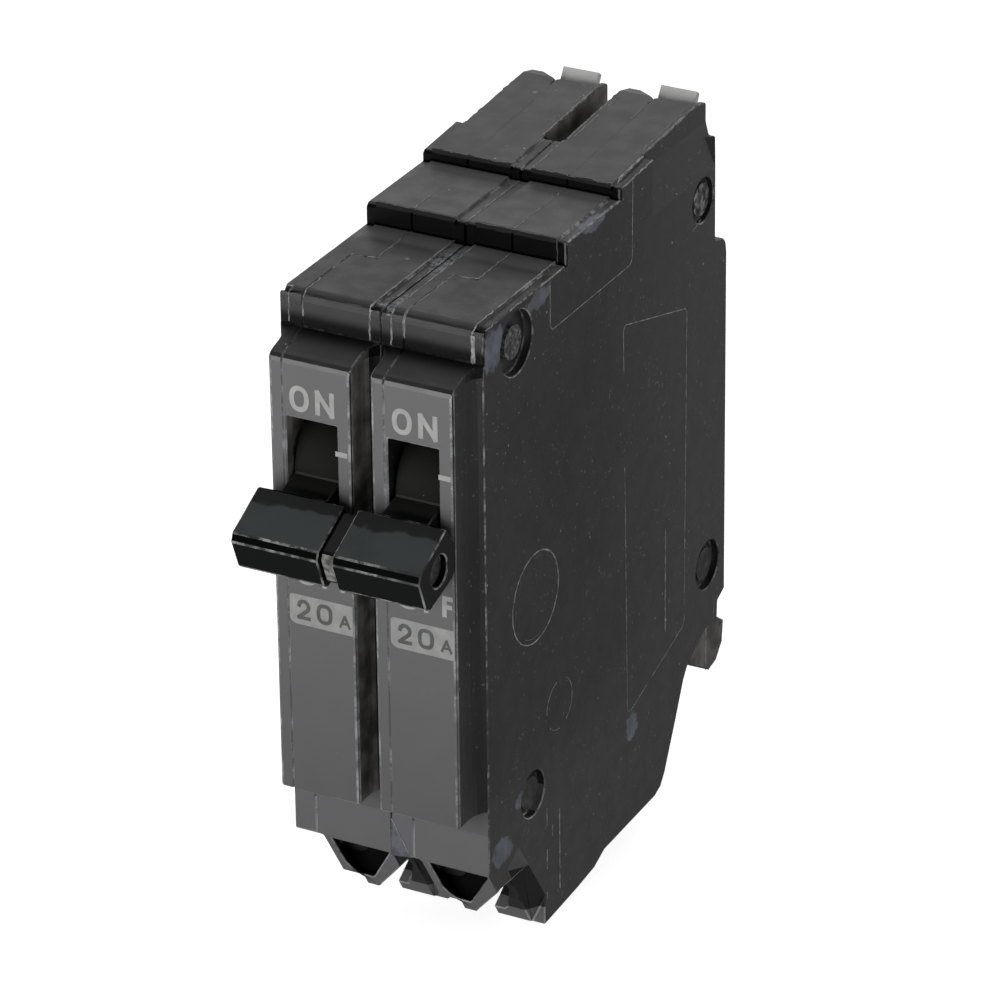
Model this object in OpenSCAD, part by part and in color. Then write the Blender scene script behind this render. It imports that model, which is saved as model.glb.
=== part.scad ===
// Two-pole plug-in circuit breaker, handles tied, shown at OFF.
// X runs across the poles, Y from the handles to the back, Z from the load end up to the line end.

/* [Poles] */
// Distance from one pole to the next
pole_pitch = 12.7; // [11:0.1:16]
// Gap left between the two poles
pole_gap = 0.1; // [0.05:0.01:0.3]
// Thickness of the moulded side walls
side_wall = 1.4; // [1.1:0.05:1.8]
// Thickness of the moulded edge walls
edge_wall = 1.5; // [1.1:0.05:2]

/* [Side outline] */
// Depth from the label face to the mounting face
body_depth = 65.25; // [62:0.25:80]
// Height of the top over the lowest tip, at the rear
body_height = 86.8; // [84:0.1:105]
// Depth of the nose in front of the body
nose_depth = 4.9; // [4:0.1:5.6]
// Height of the nose's lower edge
nose_low = 21.6; // [19:0.1:26]
// Height of the nose's upper edge
nose_high = 75.9; // [72:0.1:90]
// How much narrower the nose is on each side
nose_inset = 1.22; // [0.8:0.02:1.8]
// Thickness of the base shell at the nose
base_nose_depth = 2.9; // [2.4:0.05:3.4]
// Width of the base shell behind the jog
base_rear_depth = 5.9; // [5:0.05:7]
// Depth where the parting line jogs
jog_y = 16.2; // [14:0.1:18]
// Depth of the first step in the top
step1_y = 24.6; // [22:0.1:30]
// Depth of the second step in the top
step2_y = 37.9; // [35:0.1:42]
// Height of the first step
step1_h = 2.6; // [1:0.1:4]
// Height of the second step
step2_h = 1.3; // [0.6:0.1:2]
// Rise of the rear top from its front edge to the back
rear_rise = 1.4; // [0.5:0.1:2.5]
// How far the upper back stands in from the mounting face
back_step = 2.95; // [2:0.05:4]
// Height of the step in the back
back_step_z = 67.2; // [60:0.1:70]

/* [Handles] */
// Radius of the handle's drum
drum_r = 6; // [5:0.1:6.4]
// Width of the drum and stem
drum_w = 5.9; // [5:0.1:6.2]
// Width of the handle window
window_w = 6.4; // [6.4:0.1:7.4]
// Height of the handle window's lower edge
window_low = 53.8; // [52:0.1:54.5]
// Height of the handle window's upper edge
window_high = 68.6; // [68:0.1:71]
// Length of each grip bar along the tie pin
grip_len = 10.9; // [8:0.1:11.4]
// Radius of the tie pin
tie_pin_r = 1.5; // [1:0.1:1.7]
// Radius of the drum's trunnions
trunnion_r = 1.6; // [1:0.1:2.5]
// Handle travel from OFF to ON
handle_travel = 42; // [20:1:42]

/* [Terminals] */
// Width of the wire channel in the foot
wire_channel_w = 5.6; // [4.4:0.1:6.4]
// Thickness of the load strap
strap_t = 1; // [0.6:0.1:1.2]
// Depth of the wire channel in the foot
wire_channel_d = 4.4; // [3:0.1:5]
// Radius of the terminal screw's shank
screw_r = 1.7; // [1.3:0.1:1.8]
// Radius of the terminal screw's head
screw_head_r = 2.3; // [1.9:0.1:2.4]
// Gap between the clamp plate and the strap with the screw backed off
clamp_gap = 2.7; // [1.5:0.1:2.8]
// Thickness of the line jaw's sheet metal
jaw_t = 0.8; // [0.5:0.1:1]
// Width of the line jaw
jaw_w = 4.7; // [3.5:0.1:5.4]
// Free gap between the jaw's two leaves
jaw_gap = 1.4; // [0.8:0.1:2]

/* [Mechanism] */
// Length of the contact arm from its pivot to the contact
arm_len = 27; // [26:0.5:28]
// Width of the contact arm
arm_w = 3; // [2:0.1:3.2]
// Radius of the contact tips
tip_r = 1.9; // [1.4:0.1:2]
// Height of each contact tip
tip_h = 1; // [0.6:0.1:1.2]
// Thickness of the trip lever
lever_t = 1; // [0.7:0.05:1.1]
// Width of the bimetal strip
bimetal_w = 4.2; // [3:0.1:5]
// Thickness of the bimetal strip
bimetal_t = 0.9; // [0.6:0.05:1.2]
// Number of arc plates in each chute
plate_count = 5; // [3:1:6]
// Radius of the trip bar
trip_bar_r = 1.2; // [0.8:0.1:1.4]

/* [Fits] */
// Radial clearance of a part that turns or slides in its seat
run_fit = 0.06; // [0.03:0.01:0.1]
// Air left between parts that move past each other
air = 0.35; // [0.3:0.05:0.5]
// Radius of the rivets' shanks
rivet_r = 1.3; // [1:0.1:1.4]

/* [Hidden] */
$fn = 48;

pole_x = pole_gap / 2;                       // a pole's left face in its own frame
mid_x = pole_pitch / 2;
pin_end = 0.9;                               // where blind bearings end in a pole's outer walls
left_pole = -pole_pitch;
nose_x0 = nose_inset;
nose_x1 = pole_pitch - nose_inset;

// heights of the top
top3_rear = body_height;
top3 = body_height - rear_rise;
top2 = top3 - step2_h;
top1 = top2 - step1_h;
block_low = nose_high + 1.4;                 // where the nose's sloped top meets the block
rear_top_y = body_depth - back_step;
foot_z = 13.3;                               // lower edge of the label step
foot_tip_y = 18.1;
rebate = 1.35;                               // how far the rear top's sides stand in
rebate_y = 46;
rebate_low = body_height - 8.3;              // where the sides begin to slope in
rebate_high = body_height - 2.8;
gusset_drop = 4.5;                           // from the top down to the rear corner's gussets
shoulder_t = 0.3;                            // drop of the strips along the top's side edges
foot_hook_z = 6.5;                           // lower edge of the foot on the base shell's side
lip_z = 4.9;                                 // lowest edge of the shroud in front of the screw
back_low = 22.1;                             // lower edge of the mounting face

// handle geometry
pivot_y = drum_r + 1;
pivot_z = (window_low + window_high) / 2 + 0.2;
grip_y = -4.2;
grip_z = pivot_z - 5.2;
window_x = 3.3;
drum_x = window_x + (window_w - drum_w) / 2;
leg_len = 7;
leg_angle = handle_travel / 2;
arm_pivot = [pivot_y + leg_len * cos(leg_angle), pivot_z + leg_len * sin(leg_angle)];
arm_pin_r = 0.9;
arm_x = drum_x + (drum_w - arm_w) / 2;
arm_t = 1.6;
arm_angle = 0.4;                             // slope of the open arm
arm_swing = 22;                              // how far the arm turns between OFF and ON
grip_front = min([for (p = grip_points()) p[0]]);

// terminal screw axis, in the side view
screw_slope = 32.5;
screw_seat = [9.7, 24.5 - 11.6];
screw_x = 5.6;
screw_len = clamp_gap + strap_t + 0.3;
screw_travel = 1.7;
clamp_t = 0.9;
riser_y = 10.3;

// contacts and line side
on_angle = arm_angle + arm_swing;
on_along = [cos(on_angle), sin(on_angle)];
on_up = [-sin(on_angle), cos(on_angle)];
contact_spot = [arm_pivot[0], pivot_z - leg_len * sin(leg_angle)] + arm_len * on_along
    + (arm_t / 2 + tip_h + air) * on_up;
pad_half = tip_r + 0.5;
pad_spot = contact_spot + tip_h * on_up;
strap_z = (pad_spot + pad_half * on_along)[1];
jaw_x = 5.2;
jaw_z = body_height - 6.4;
jaw_y = rear_top_y - 10.3;

// trip side
lever_pivot = [20, top1 - 5.5];
lever_pin_r = 1;
lever_x = 9.75;
latch = [36.3, 57];
bimetal_y = 30;
armature_y = 37;
armature_low = 33;
armature_t = 1;
armature_pin_r = 0.8;
armature_pivot = [armature_y + armature_t / 2, armature_low];
armature_high = latch[1] - 1.2;
bar_pos = [40.6, 46];

// rivets, in the side view: [y, z, recess radius, recess depth]
rivet_spots = [
    [12.7, nose_high + 0.8, 3.8, 1.1],
    [59, back_step_z + 8.3, 2.75, 0.9],
    [60.6, back_low + 5.3, 3.1, 1.1],
    [15.6, 18.7, 2.85, 1.1]
];
boss_r = rivet_r + 0.9;

mid_y = (body_depth + grip_front) / 2;

function arc(c, r, a0, a1, n = 6) = [for (i = [0:n]) let(a = a0 + (a1 - a0) * i / n) c + r * [cos(a), sin(a)]];

// outline of a grip bar seen from the side
function grip_points() = [
    [-2.4, pivot_z - 0.9], [-8.35, pivot_z - 3.9], [-8.75, pivot_z - 4.9], [-7.35, pivot_z - 8.5],
    [-6.4, pivot_z - 9.1], [-1.2, pivot_z - 7.5], [-0.5, pivot_z - 6.7], [-0.5, pivot_z - 3.3]
];

// outline of a pole's body seen from the side, without the nose, the bucket and the hook
function body_points() = concat(
    [[nose_depth, foot_z]],
    arc([nose_depth + 1.2, top1 - 1.2], 1.2, 180, 90, 5),
    [[step1_y, top1]],
    arc([step1_y + 0.5, top2 - 0.5], 0.5, 180, 90, 3),
    [[step2_y, top2]],
    arc([step2_y + 0.4, top3 - 0.4], 0.4, 180, 90, 3),
    [[rear_top_y - 2.4, top3_rear], [rear_top_y, top3_rear - 0.6]],
    [[rear_top_y, back_step_z + 1.9]],
    arc([body_depth - 1.6, back_step_z - 0.1], 1.6, 60, 0, 3),
    [[body_depth, back_low], [56.5, back_low - 4.2], [54.3, 14.8], [52.2, 10.4], [49.3, 4.7], [48.2, 3.3]],
    [[46.6, 2.7], [33.4, 2.2], [30.8, 1.1], [26.5, 0.6], [foot_tip_y, 0]],
    [[foot_tip_y - 10.2 * tan(screw_slope), 10.2], [9.6, 10.3]]
);

// inside of a pole's body seen from the side
function cavity_points() = [
    [nose_depth + edge_wall, 25], [nose_depth + edge_wall, top1 - edge_wall],
    [step1_y + edge_wall, top1 - edge_wall], [step1_y + edge_wall, top2 - edge_wall],
    [step2_y + edge_wall, top2 - edge_wall], [step2_y + edge_wall, top3 - edge_wall],
    [rear_top_y - 1.9, top3_rear - edge_wall - 0.4], [rear_top_y - 1.9, back_step_z + 0.6],
    [body_depth - edge_wall, back_step_z - 1.2], [body_depth - edge_wall, back_low + 4],
    [53.6, 19.5], [47.6, 5.2], [26, 3.2], [21, 3.2], [21, 25]
];

// everything above the lowered strips, in the side view
function shoulder_points() = [
    [nose_depth + 0.3, body_height + 3], [nose_depth + 0.3, top1 - 1.5], [nose_depth + 1.5, top1 - shoulder_t],
    [step1_y, top1 - shoulder_t], [step1_y, top2 - 0.8], [step1_y + 0.5, top2 - shoulder_t],
    [step2_y, top2 - shoulder_t], [step2_y, top3 - 0.7], [step2_y + 0.4, top3 - shoulder_t],
    [rebate_y, top3 + 0.2], [rebate_y, body_height + 3]
];

// the hook that catches the panel's rail
function hook_points() = [
    [58, back_low + 0.5], [55.4, 16.6], [56.2, 15.8], [61.1, 12.9], [63, 13.35], [64.6, 15.2], [65, 17.9],
    [63.1, 19.2], [63.4, 21.9], [64.2, back_low + 0.5]
];

// moves a drawing to the part's own frame, over the pole whose left side is at x
module place(x = 0) { translate([x, -mid_y, 0]) children(); }

// extrudes a side view over a range of x
module side(x0, x1) {
    translate([x0, 0, 0]) rotate([90, 0, 90]) linear_extrude(x1 - x0) children();
}

// a round bar along x
module bar_x(x0, x1, p, r) {
    translate([x0, p[0], p[1]]) rotate([0, 90, 0]) cylinder(h = x1 - x0, r = r);
}

// draws in the frame of the terminal screw: +Y along the screw into the breaker
module screw_frame() {
    translate([screw_x, screw_seat[0], screw_seat[1]]) rotate([screw_slope, 0, 0]) children();
}

// ---- moulded shells ----

// the nose seen from above, with its flared sides
module nose_plan() {
    flare = 2.4;
    flare_a = 2 * atan(nose_inset / flare);
    flare_r = flare / sin(flare_a);
    flare_y = nose_depth - flare;
    polygon(concat(
        [[nose_x0 + 0.25, 0], [nose_x1 - 0.25, 0], [nose_x1, 0.25]],
        [for (i = [0:4]) let(a = flare_a * i / 4)
            [nose_x1 + flare_r * (1 - cos(a)) - pole_x, flare_y + flare_r * sin(a)]],
        [[pole_pitch - pole_x, nose_depth + 1], [pole_x, nose_depth + 1]],
        [for (i = [4:-1:0]) let(a = flare_a * i / 4)
            [nose_x0 - flare_r * (1 - cos(a)) + pole_x, flare_y + flare_r * sin(a)]],
        [[nose_x0, 0.25]]
    ));
}

module nose() {
    intersection() {
        translate([0, 0, nose_low]) linear_extrude(top1 - nose_low - 3) nose_plan();
        side(0, pole_pitch) polygon([
            [-1, nose_low - 1], [-1, nose_high - 0.9], [0, nose_high - 0.9], [0.15, nose_high - 0.4],
            [0.5, nose_high - 0.05], [1, nose_high + 0.2],
            [nose_depth, block_low], [nose_depth + 2, block_low], [nose_depth + 2, nose_low - 1]
        ]);
    }
}

// the shroud in front of the terminal screw, tapered to its lower lip
module bucket() {
    intersection() {
        side(pole_x, pole_pitch - pole_x) polygon([
            [nose_depth, foot_z + 1], [nose_depth, foot_z], [10, lip_z], [10.7, lip_z + 0.3], [11.8, 10.2], [11.8, foot_z + 1]
        ]);
        translate([0, 20, 0]) rotate([90, 0, 0]) linear_extrude(20) polygon([
            [3.6, foot_z + 1], [3.9, lip_z - 1], [8.2, lip_z], [8.2, lip_z + 0.2],
            [pole_pitch - pole_x, 10.3], [pole_pitch - pole_x, foot_z + 1]
        ]);
    }
}

module bucket_mouth() {
    intersection() {
        side(0, pole_pitch) polygon([
            [nose_depth - 3, foot_z - 0.3], [nose_depth - 3, lip_z], [9.6, lip_z + 1], [10, lip_z + 1.4],
            [9.2, foot_z - 0.3]
        ]);
        translate([0, 20, 0]) rotate([90, 0, 0]) linear_extrude(20) polygon([
            [4.65, foot_z], [4.85, lip_z + 3.7], [5.3, lip_z + 2.6], [6.1, lip_z + 1.8], [7.9, lip_z + 1.7],
            [12.15, foot_z - 0.5], [12.15, foot_z]
        ]);
    }
}

// cuts the sloping rebate along one side of the rear top
module rebate_cut() {
    translate([0, rear_top_y + 1, 0]) rotate([90, 0, 0]) linear_extrude(rear_top_y + 1 - rebate_y) polygon([
        [-1, body_height + 3], [rebate, body_height + 3], [rebate, rebate_high], [pole_x, rebate_low],
        [-1, rebate_low]
    ]);
}

// the whole outside of one pole
module pole_outside() {
    difference() {
        union() {
            side(pole_x, pole_pitch - pole_x) polygon(body_points());
            nose();
            bucket();
            side(3, 9.7) polygon(hook_points());
        }
        // rebates at the rear top, where the poles stand apart
        for (m = [0, 1])
            translate([m * pole_pitch, 0, 0]) mirror([m, 0, 0]) {
                difference() {
                    rebate_cut();
                    // a gusset at the rear corner keeps the full width
                    linear_extrude(body_height - gusset_drop) polygon([
                        [pole_x, rear_top_y], [rebate + 0.5, rear_top_y - 2.35], [rebate + 0.5, rear_top_y + 2],
                        [pole_x, rear_top_y + 2]
                    ]);
                }
                // strips along the side edges of the top stand a little lower
                side(-1, nose_inset) polygon(shoulder_points());
            }
        // chamfer on the foot's front corners
        intersection() {
            for (m = [0, 1])
                translate([m * pole_pitch, 0, 0]) mirror([m, 0, 0])
                    translate([0, foot_tip_y, 0]) rotate([screw_slope, 0, 0]) translate([0, 0, -2])
                        linear_extrude(17) polygon([[-1, -1], [1.8, -1], [1.8, 0], [pole_x, 2.1], [-1, 2.1]]);
            translate([-1, -1, -1]) cube([pole_pitch + 2, foot_tip_y + 1.1, foot_z + 20]);
        }
        // the foot ends higher on the base shell's side, so a wire can be laid in
        side(-1, base_rear_depth + 0.6) polygon([
            [9, foot_hook_z], [22, foot_hook_z], [31, 3.2], [31, -1], [9, -1]
        ]);
        // slot where the line jaw comes out, with a notch at the parting line
        translate([0, 0, jaw_z - 3.2]) linear_extrude(30) polygon([
            [jaw_x - 2.2, rear_top_y], [base_rear_depth, rear_top_y - 2.7], [base_rear_depth + 0.8, rear_top_y - 2.1],
            [jaw_x + jaw_w + 0.6, rear_top_y - 2.1], [jaw_x + jaw_w + 0.6, rear_top_y + 6],
            [jaw_x - 2.2, rear_top_y + 6]
        ]);
        translate([jaw_x - 0.4, rear_top_y - 2.8, jaw_z - 3.2]) cube([jaw_w + 1, 8, 7.8]);
    }
}

// the hollow of one pole
module pole_hollow() {
    difference() {
        side(side_wall, pole_pitch - side_wall) polygon(cavity_points());
        // thicker sides under the rebates
        for (x = [0, pole_pitch - rebate - side_wall])
            translate([x, rebate_y - side_wall, rebate_low - 1]) cube([rebate + side_wall, 60, 40]);
    }
    // space behind the nose for the handle's drum
    translate([base_nose_depth, 1.5, nose_low + 8]) cube([7.3, 8, nose_high - nose_low - 12]);
    // window in the label face
    translate([window_x, -1, window_low]) cube([window_w, 4, window_high - window_low]);
    // terminal: driver way, screw space and clamp space
    bucket_mouth();
    screw_frame() {
        rotate([90, 0, 0]) translate([0, 0, -3]) cylinder(h = 5.9, r = screw_head_r + 0.3);
        translate([-3.6, -clamp_t - 0.1, -3.1]) cube([7.6, clamp_gap + strap_t + clamp_t + 0.2, 6.4]);
        rotate([-90, 0, 0]) cylinder(h = screw_len + screw_travel + air, r = screw_r + 0.3);
    }
    // way for the load strap up into the pole
    translate([screw_x - 3.3, riser_y - 0.3, 15.8]) cube([6.6, strap_t + 0.6, 11]);
    // wire channel, open at the foot's front, with a floor left in the cover shell
    translate([screw_x - wire_channel_w / 2, foot_tip_y, 0]) rotate([screw_slope, 0, 0])
        translate([0, wire_channel_d, 0]) rotate([90, 0, 0]) linear_extrude(wire_channel_d + 0.05) polygon([
            [0, 1.7], [wire_channel_w - 0.6, 1.7], [wire_channel_w, 2.3], [wire_channel_w + 1.7, 7.2],
            [wire_channel_w, 13], [0, 13]
        ]);
}

// the bosses that carry rivets, pivots and inner parts, over a range of x
module bosses(x0, x1) {
    for (s = rivet_spots) bar_x(x0, x1, [s[0], s[1]], boss_r);
}

// holes for the rivets and their sunk heads
module rivet_holes() {
    for (s = rivet_spots) {
        bar_x(-1, pole_pitch + 1, [s[0], s[1]], rivet_r + run_fit);
        bar_x(-1, pole_x + s[3], [s[0], s[1]], s[2]);
        bar_x(pole_pitch - pole_x - s[3], pole_pitch + 1, [s[0], s[1]], s[2]);
    }
}

// the base shell's share of a pole: shallow at the nose, deeper behind the jog
module base_share() {
    translate([-1, -20, -20]) cube([base_nose_depth + 1, 120, 130]);
    translate([-1, jog_y, -20]) cube([base_rear_depth + 1, 120, 130]);
}

module pole_solid(is_left) {
    bar_x0 = is_left ? pin_end : -1;
    bar_x1 = is_left ? pole_pitch + 1 : pole_pitch - pin_end;
    difference() {
        union() {
            difference() { pole_outside(); pole_hollow(); }
            intersection() { pole_outside(); bosses(side_wall - 0.2, pole_pitch - side_wall + 0.2); }
        }
        rivet_holes();
        // bearings of the drum's trunnions, the trip lever, the armature and the trip bar
        bar_x(pin_end, pole_pitch - pin_end, [pivot_y, pivot_z], trunnion_r + run_fit);
        bar_x(pin_end, pole_pitch - pin_end, lever_pivot, lever_pin_r + run_fit);
        bar_x(pin_end, pole_pitch - pin_end, armature_pivot, armature_pin_r + run_fit);
        bar_x(bar_x0, bar_x1, bar_pos, trip_bar_r + run_fit);
    }
}

module base_shell(is_left = false) {
    color([0.2, 0.2, 0.2]) intersection() { pole_solid(is_left); base_share(); }
}

module cover_shell(is_left = false) {
    color([0.22, 0.22, 0.22]) difference() { pole_solid(is_left); base_share(); }
}

// ---- handles ----

module handle() {
    ear = (drum_w - arm_w) / 2 - 0.25;
    color([0.1, 0.11, 0.11]) difference() {
        union() {
            bar_x(drum_x, drum_x + drum_w, [pivot_y, pivot_z], drum_r);
            bar_x(pin_end + 0.1, pole_pitch - pin_end - 0.1, [pivot_y, pivot_z], trunnion_r);
            side(mid_x - grip_len / 2, mid_x + grip_len / 2) polygon(grip_points());
            side(drum_x, drum_x + drum_w) polygon([
                [-2.6, pivot_z - 1.1], [pivot_y, pivot_z + 1.6], [pivot_y, pivot_z - 4.6], [-1, pivot_z - 7]
            ]);
            for (x = [drum_x, drum_x + drum_w - ear]) {
                bar_x(x, x + ear, arm_pivot, 1.9);
                translate([x, pivot_y, pivot_z]) rotate([leg_angle, 0, 0]) translate([0, 0, -1.9])
                    cube([ear, leg_len, 3.8]);
            }
        }
        bar_x(0, pole_pitch, [grip_y, grip_z], tie_pin_r + 0.01);
        bar_x(mid_x + grip_len / 2 - 1, pole_pitch, [grip_y, grip_z], tie_pin_r + 0.4);
        bar_x(drum_x + 0.2, drum_x + drum_w - 0.2, arm_pivot, arm_pin_r + run_fit);
        // room for the contact arm's end between the ears
        bar_x(drum_x + ear, drum_x + drum_w - ear, arm_pivot, 2.6);
    }
}

module tie_pin() {
    color([0.75, 0.75, 0.75])
        bar_x(left_pole + mid_x - grip_len / 2 + 0.3, mid_x + grip_len / 2 - 0.6, [grip_y, grip_z], tie_pin_r);
}

module tie_spacer() {
    gap = pole_pitch - grip_len;
    color([0.45, 0.45, 0.44]) difference() {
        side(-gap / 2, gap / 2) translate([grip_y, grip_z]) scale([0.86, 0.86]) translate([-grip_y, -grip_z])
            polygon(grip_points());
        bar_x(-gap, gap, [grip_y, grip_z], tie_pin_r + 0.01);
    }
}

// ---- contacts ----

module arm_frame() {
    translate([0, arm_pivot[0], arm_pivot[1]]) rotate([arm_angle, 0, 0]) children();
}

module contact_arm() {
    color([0.72, 0.45, 0.3]) {
        bar_x(drum_x + 0.4, drum_x + drum_w - 0.4, arm_pivot, arm_pin_r);
        bar_x(arm_x, arm_x + arm_w, arm_pivot, 1.5);
        arm_frame() {
            translate([arm_x, 0, -arm_t / 2]) cube([arm_w, arm_len + 1, arm_t]);
            translate([arm_x + arm_w / 2, arm_len, -arm_t / 2]) cylinder(h = arm_t, r = tip_r);
        }
    }
}

module moving_contact() {
    color([0.85, 0.85, 0.83]) arm_frame() translate([arm_x + arm_w / 2, arm_len, arm_t / 2])
        cylinder(h = tip_h, r = tip_r - 0.2);
}

module fixed_contact() {
    color([0.85, 0.85, 0.83]) translate([arm_x + arm_w / 2, contact_spot[0], contact_spot[1]])
        rotate([on_angle, 0, 0]) cylinder(h = tip_h, r = tip_r);
}

module line_jaw() {
    flare_z = top3_rear + 0.3;
    color([0.8, 0.8, 0.79]) {
        // strap that carries the fixed contact, and the riser to the jaw
        side(jaw_x, jaw_x + jaw_w) polygon([
            pad_spot - pad_half * on_along, pad_spot + pad_half * on_along, [jaw_y + jaw_t, strap_z],
            [jaw_y + jaw_t, strap_z + jaw_t], [(pad_spot + pad_half * on_along)[0] - 0.2, strap_z + jaw_t],
            pad_spot - pad_half * on_along + jaw_t * on_up
        ]);
        translate([jaw_x, jaw_y, strap_z]) cube([jaw_w, jaw_t, jaw_z + jaw_gap / 2 + jaw_t - strap_z]);
        // lower leaf
        side(jaw_x, jaw_x + jaw_w) polygon([
            [jaw_y, jaw_z - jaw_gap / 2 - jaw_t], [rear_top_y - 3.7, jaw_z - jaw_gap / 2 - jaw_t],
            [rear_top_y - 0.9, jaw_z - jaw_gap / 2 - jaw_t - 1.2], [rear_top_y - 0.5, jaw_z - jaw_gap / 2 - 0.6],
            [rear_top_y - 3.4, jaw_z - jaw_gap / 2], [jaw_y, jaw_z - jaw_gap / 2]
        ]);
        // upper leaf, flared up at its mouth
        side(jaw_x, jaw_x + jaw_w) polygon([
            [jaw_y, jaw_z + jaw_gap / 2], [rear_top_y - 2.1, jaw_z + jaw_gap / 2],
            [rear_top_y + 1.3, flare_z - 0.5], [rear_top_y + 0.6, flare_z],
            [rear_top_y - 2.7, jaw_z + jaw_gap / 2 + jaw_t], [jaw_y, jaw_z + jaw_gap / 2 + jaw_t]
        ]);
    }
}

// ---- trip parts ----

module trip_lever() {
    color([0.6, 0.6, 0.62]) {
        bar_x(pin_end + 0.1, pole_pitch - pin_end - 0.1, lever_pivot, lever_pin_r);
        side(lever_x, lever_x + lever_t) polygon([
            lever_pivot + [-2.4, 1.6], lever_pivot + [3, 2.4], lever_pivot + [8.2, 0.8],
            latch + [0, 1.6], latch + [0, 0], latch + [-2, 0], lever_pivot + [5.2, -3.6], lever_pivot + [-2.4, -2]
        ]);
    }
}

module toggle_spring() {
    turns = 9;
    coil_pitch = 0.85;
    coils = turns * coil_pitch;
    spring_x = lever_x - 1.4;
    low = [lever_pivot[0] + 5.6, arm_pivot[1] + arm_t / 2 + 0.3];
    color([0.7, 0.7, 0.7]) {
        translate([spring_x, low[0], low[1] + 1.2]) rotate_extrude() polygon(concat(
            [[0, 0]],
            [for (i = [0:turns * 2]) [i % 2 == 0 ? 0.85 : 1.2, i * coil_pitch / 2]],
            [[0, coils]]
        ));
        // end hooks: one over the arm, one in the trip lever
        translate([spring_x, low[0], low[1]]) cylinder(h = 1.3, r = 0.4);
        translate([spring_x, low[0], low[1] + 1.1 + coils]) cylinder(h = 0.9, r = 0.4);
        bar_x(spring_x, lever_x, [low[0], low[1] + 1.7 + coils], 0.4);
    }
}

module bimetal() {
    color([0.66, 0.6, 0.5])
        translate([mid_x - bimetal_w / 2 - 0.4, bimetal_y, 22.5]) cube([bimetal_w, bimetal_t, 33]);
}

module magnet_yoke() {
    yoke_w = 8;
    yoke_t = 1.1;
    color([0.5, 0.5, 0.52]) difference() {
        translate([mid_x - 0.4 - yoke_w / 2, bimetal_y - yoke_t, 36])
            cube([yoke_w, armature_y - bimetal_y + yoke_t - 1.4, 12]);
        translate([mid_x - 0.4 - yoke_w / 2 + yoke_t, bimetal_y, 35]) cube([yoke_w - 2 * yoke_t, 20, 14]);
    }
}

module armature() {
    color([0.52, 0.52, 0.54]) {
        bar_x(pin_end + 0.1, pole_pitch - pin_end - 0.1, armature_pivot, armature_pin_r);
        translate([2.6, armature_y, armature_low]) cube([8.3, armature_t, armature_high - armature_low]);
    }
}

module calibration_screw() {
    color([0.75, 0.7, 0.5]) translate([mid_x - 0.4, bimetal_y + bimetal_t, 26]) rotate([-90, 0, 0]) {
        cylinder(h = 5, r = 0.9);
        translate([0, 0, 1.4]) cylinder(h = 1.4, r = 2);
    }
}

module trip_bar() {
    color([0.85, 0.82, 0.7]) {
        bar_x(left_pole + pin_end + 0.1, pole_pitch - pin_end - 0.1, bar_pos, trip_bar_r);
        for (x = [left_pole, 0])
            translate([x + 3.4, armature_y + armature_t + air, bar_pos[1]]) cube([6, 1, 8.6]);
        for (x = [left_pole, 0])
            translate([x + 3.4, armature_y + armature_t + air, bar_pos[1] - 1]) cube([6, 2, 2]);
    }
}

module braid() {
    braid_r = 0.9;
    bow_r = 4;
    low = 56.1;
    high = arm_pivot[1] - arm_t / 2 - 0.8;
    half = asin((high - low) / 2 / bow_r);
    color([0.72, 0.42, 0.25])
        translate([mid_x - 0.4, bimetal_y + bimetal_t / 2 + bow_r * cos(half), (low + high) / 2])
            rotate([90, 0, 90]) rotate([0, 0, 180 - half]) rotate_extrude(angle = 2 * half)
                translate([bow_r, 0]) circle(r = braid_r);
}

// ---- load terminal ----

module load_strap() {
    color([0.8, 0.7, 0.45]) {
        difference() {
            screw_frame() translate([-3.4, clamp_gap, -2.9]) cube([7, strap_t, 6]);
            screw_frame() rotate([-90, 0, 0]) translate([0, 0, clamp_gap - 1]) cylinder(h = strap_t + 2, r = screw_r + run_fit);
        }
        // riser, and the run over to the foot of the bimetal
        translate([screw_x - 3, riser_y, 16.7]) cube([6, strap_t, 9.9]);
        translate([screw_x - 3, riser_y, 25.6]) cube([6, bimetal_y - riser_y, strap_t]);
    }
}

module clamp_plate() {
    color([0.78, 0.78, 0.76]) difference() {
        screw_frame() translate([-3.3, -clamp_t, -2.7]) cube([6.6, clamp_t, 5.4]);
        screw_frame() rotate([-90, 0, 0]) translate([0, 0, -3]) cylinder(h = 6, r = screw_r + run_fit);
    }
}

module terminal_screw() {
    head_t = 1.5;
    color([0.8, 0.8, 0.78]) difference() {
        screw_frame() rotate([-90, 0, 0]) union() {
            translate([0, 0, -clamp_t]) cylinder(h = screw_len + clamp_t, r = screw_r);
            translate([0, 0, -clamp_t - head_t]) cylinder(h = head_t, r = screw_head_r);
        }
        screw_frame() translate([-5, -clamp_t - head_t - 1, -0.35]) cube([10, 1.8, 0.7]);
    }
}

// ---- arc chute ----

plate_y = 43.6;
chute_x = 2;

module arc_plates() {
    plate_pitch = 2.1;
    color([0.55, 0.55, 0.55]) for (i = [0:plate_count - 1])
        translate([chute_x + 0.5, plate_y, 60.8 + i * plate_pitch]) difference() {
            cube([pole_pitch - 2 * chute_x - 1, 8, 0.8]);
            translate([2.6, -1, -1]) cube([3.5, 3.4, 3]);
        }
}

module arc_frame() {
    color([0.7, 0.62, 0.5]) for (x = [chute_x, pole_pitch - chute_x - 0.5])
        translate([x, plate_y - 0.5, 60]) cube([0.5, 9, 11]);
}

// ---- rivets through both poles ----

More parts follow.
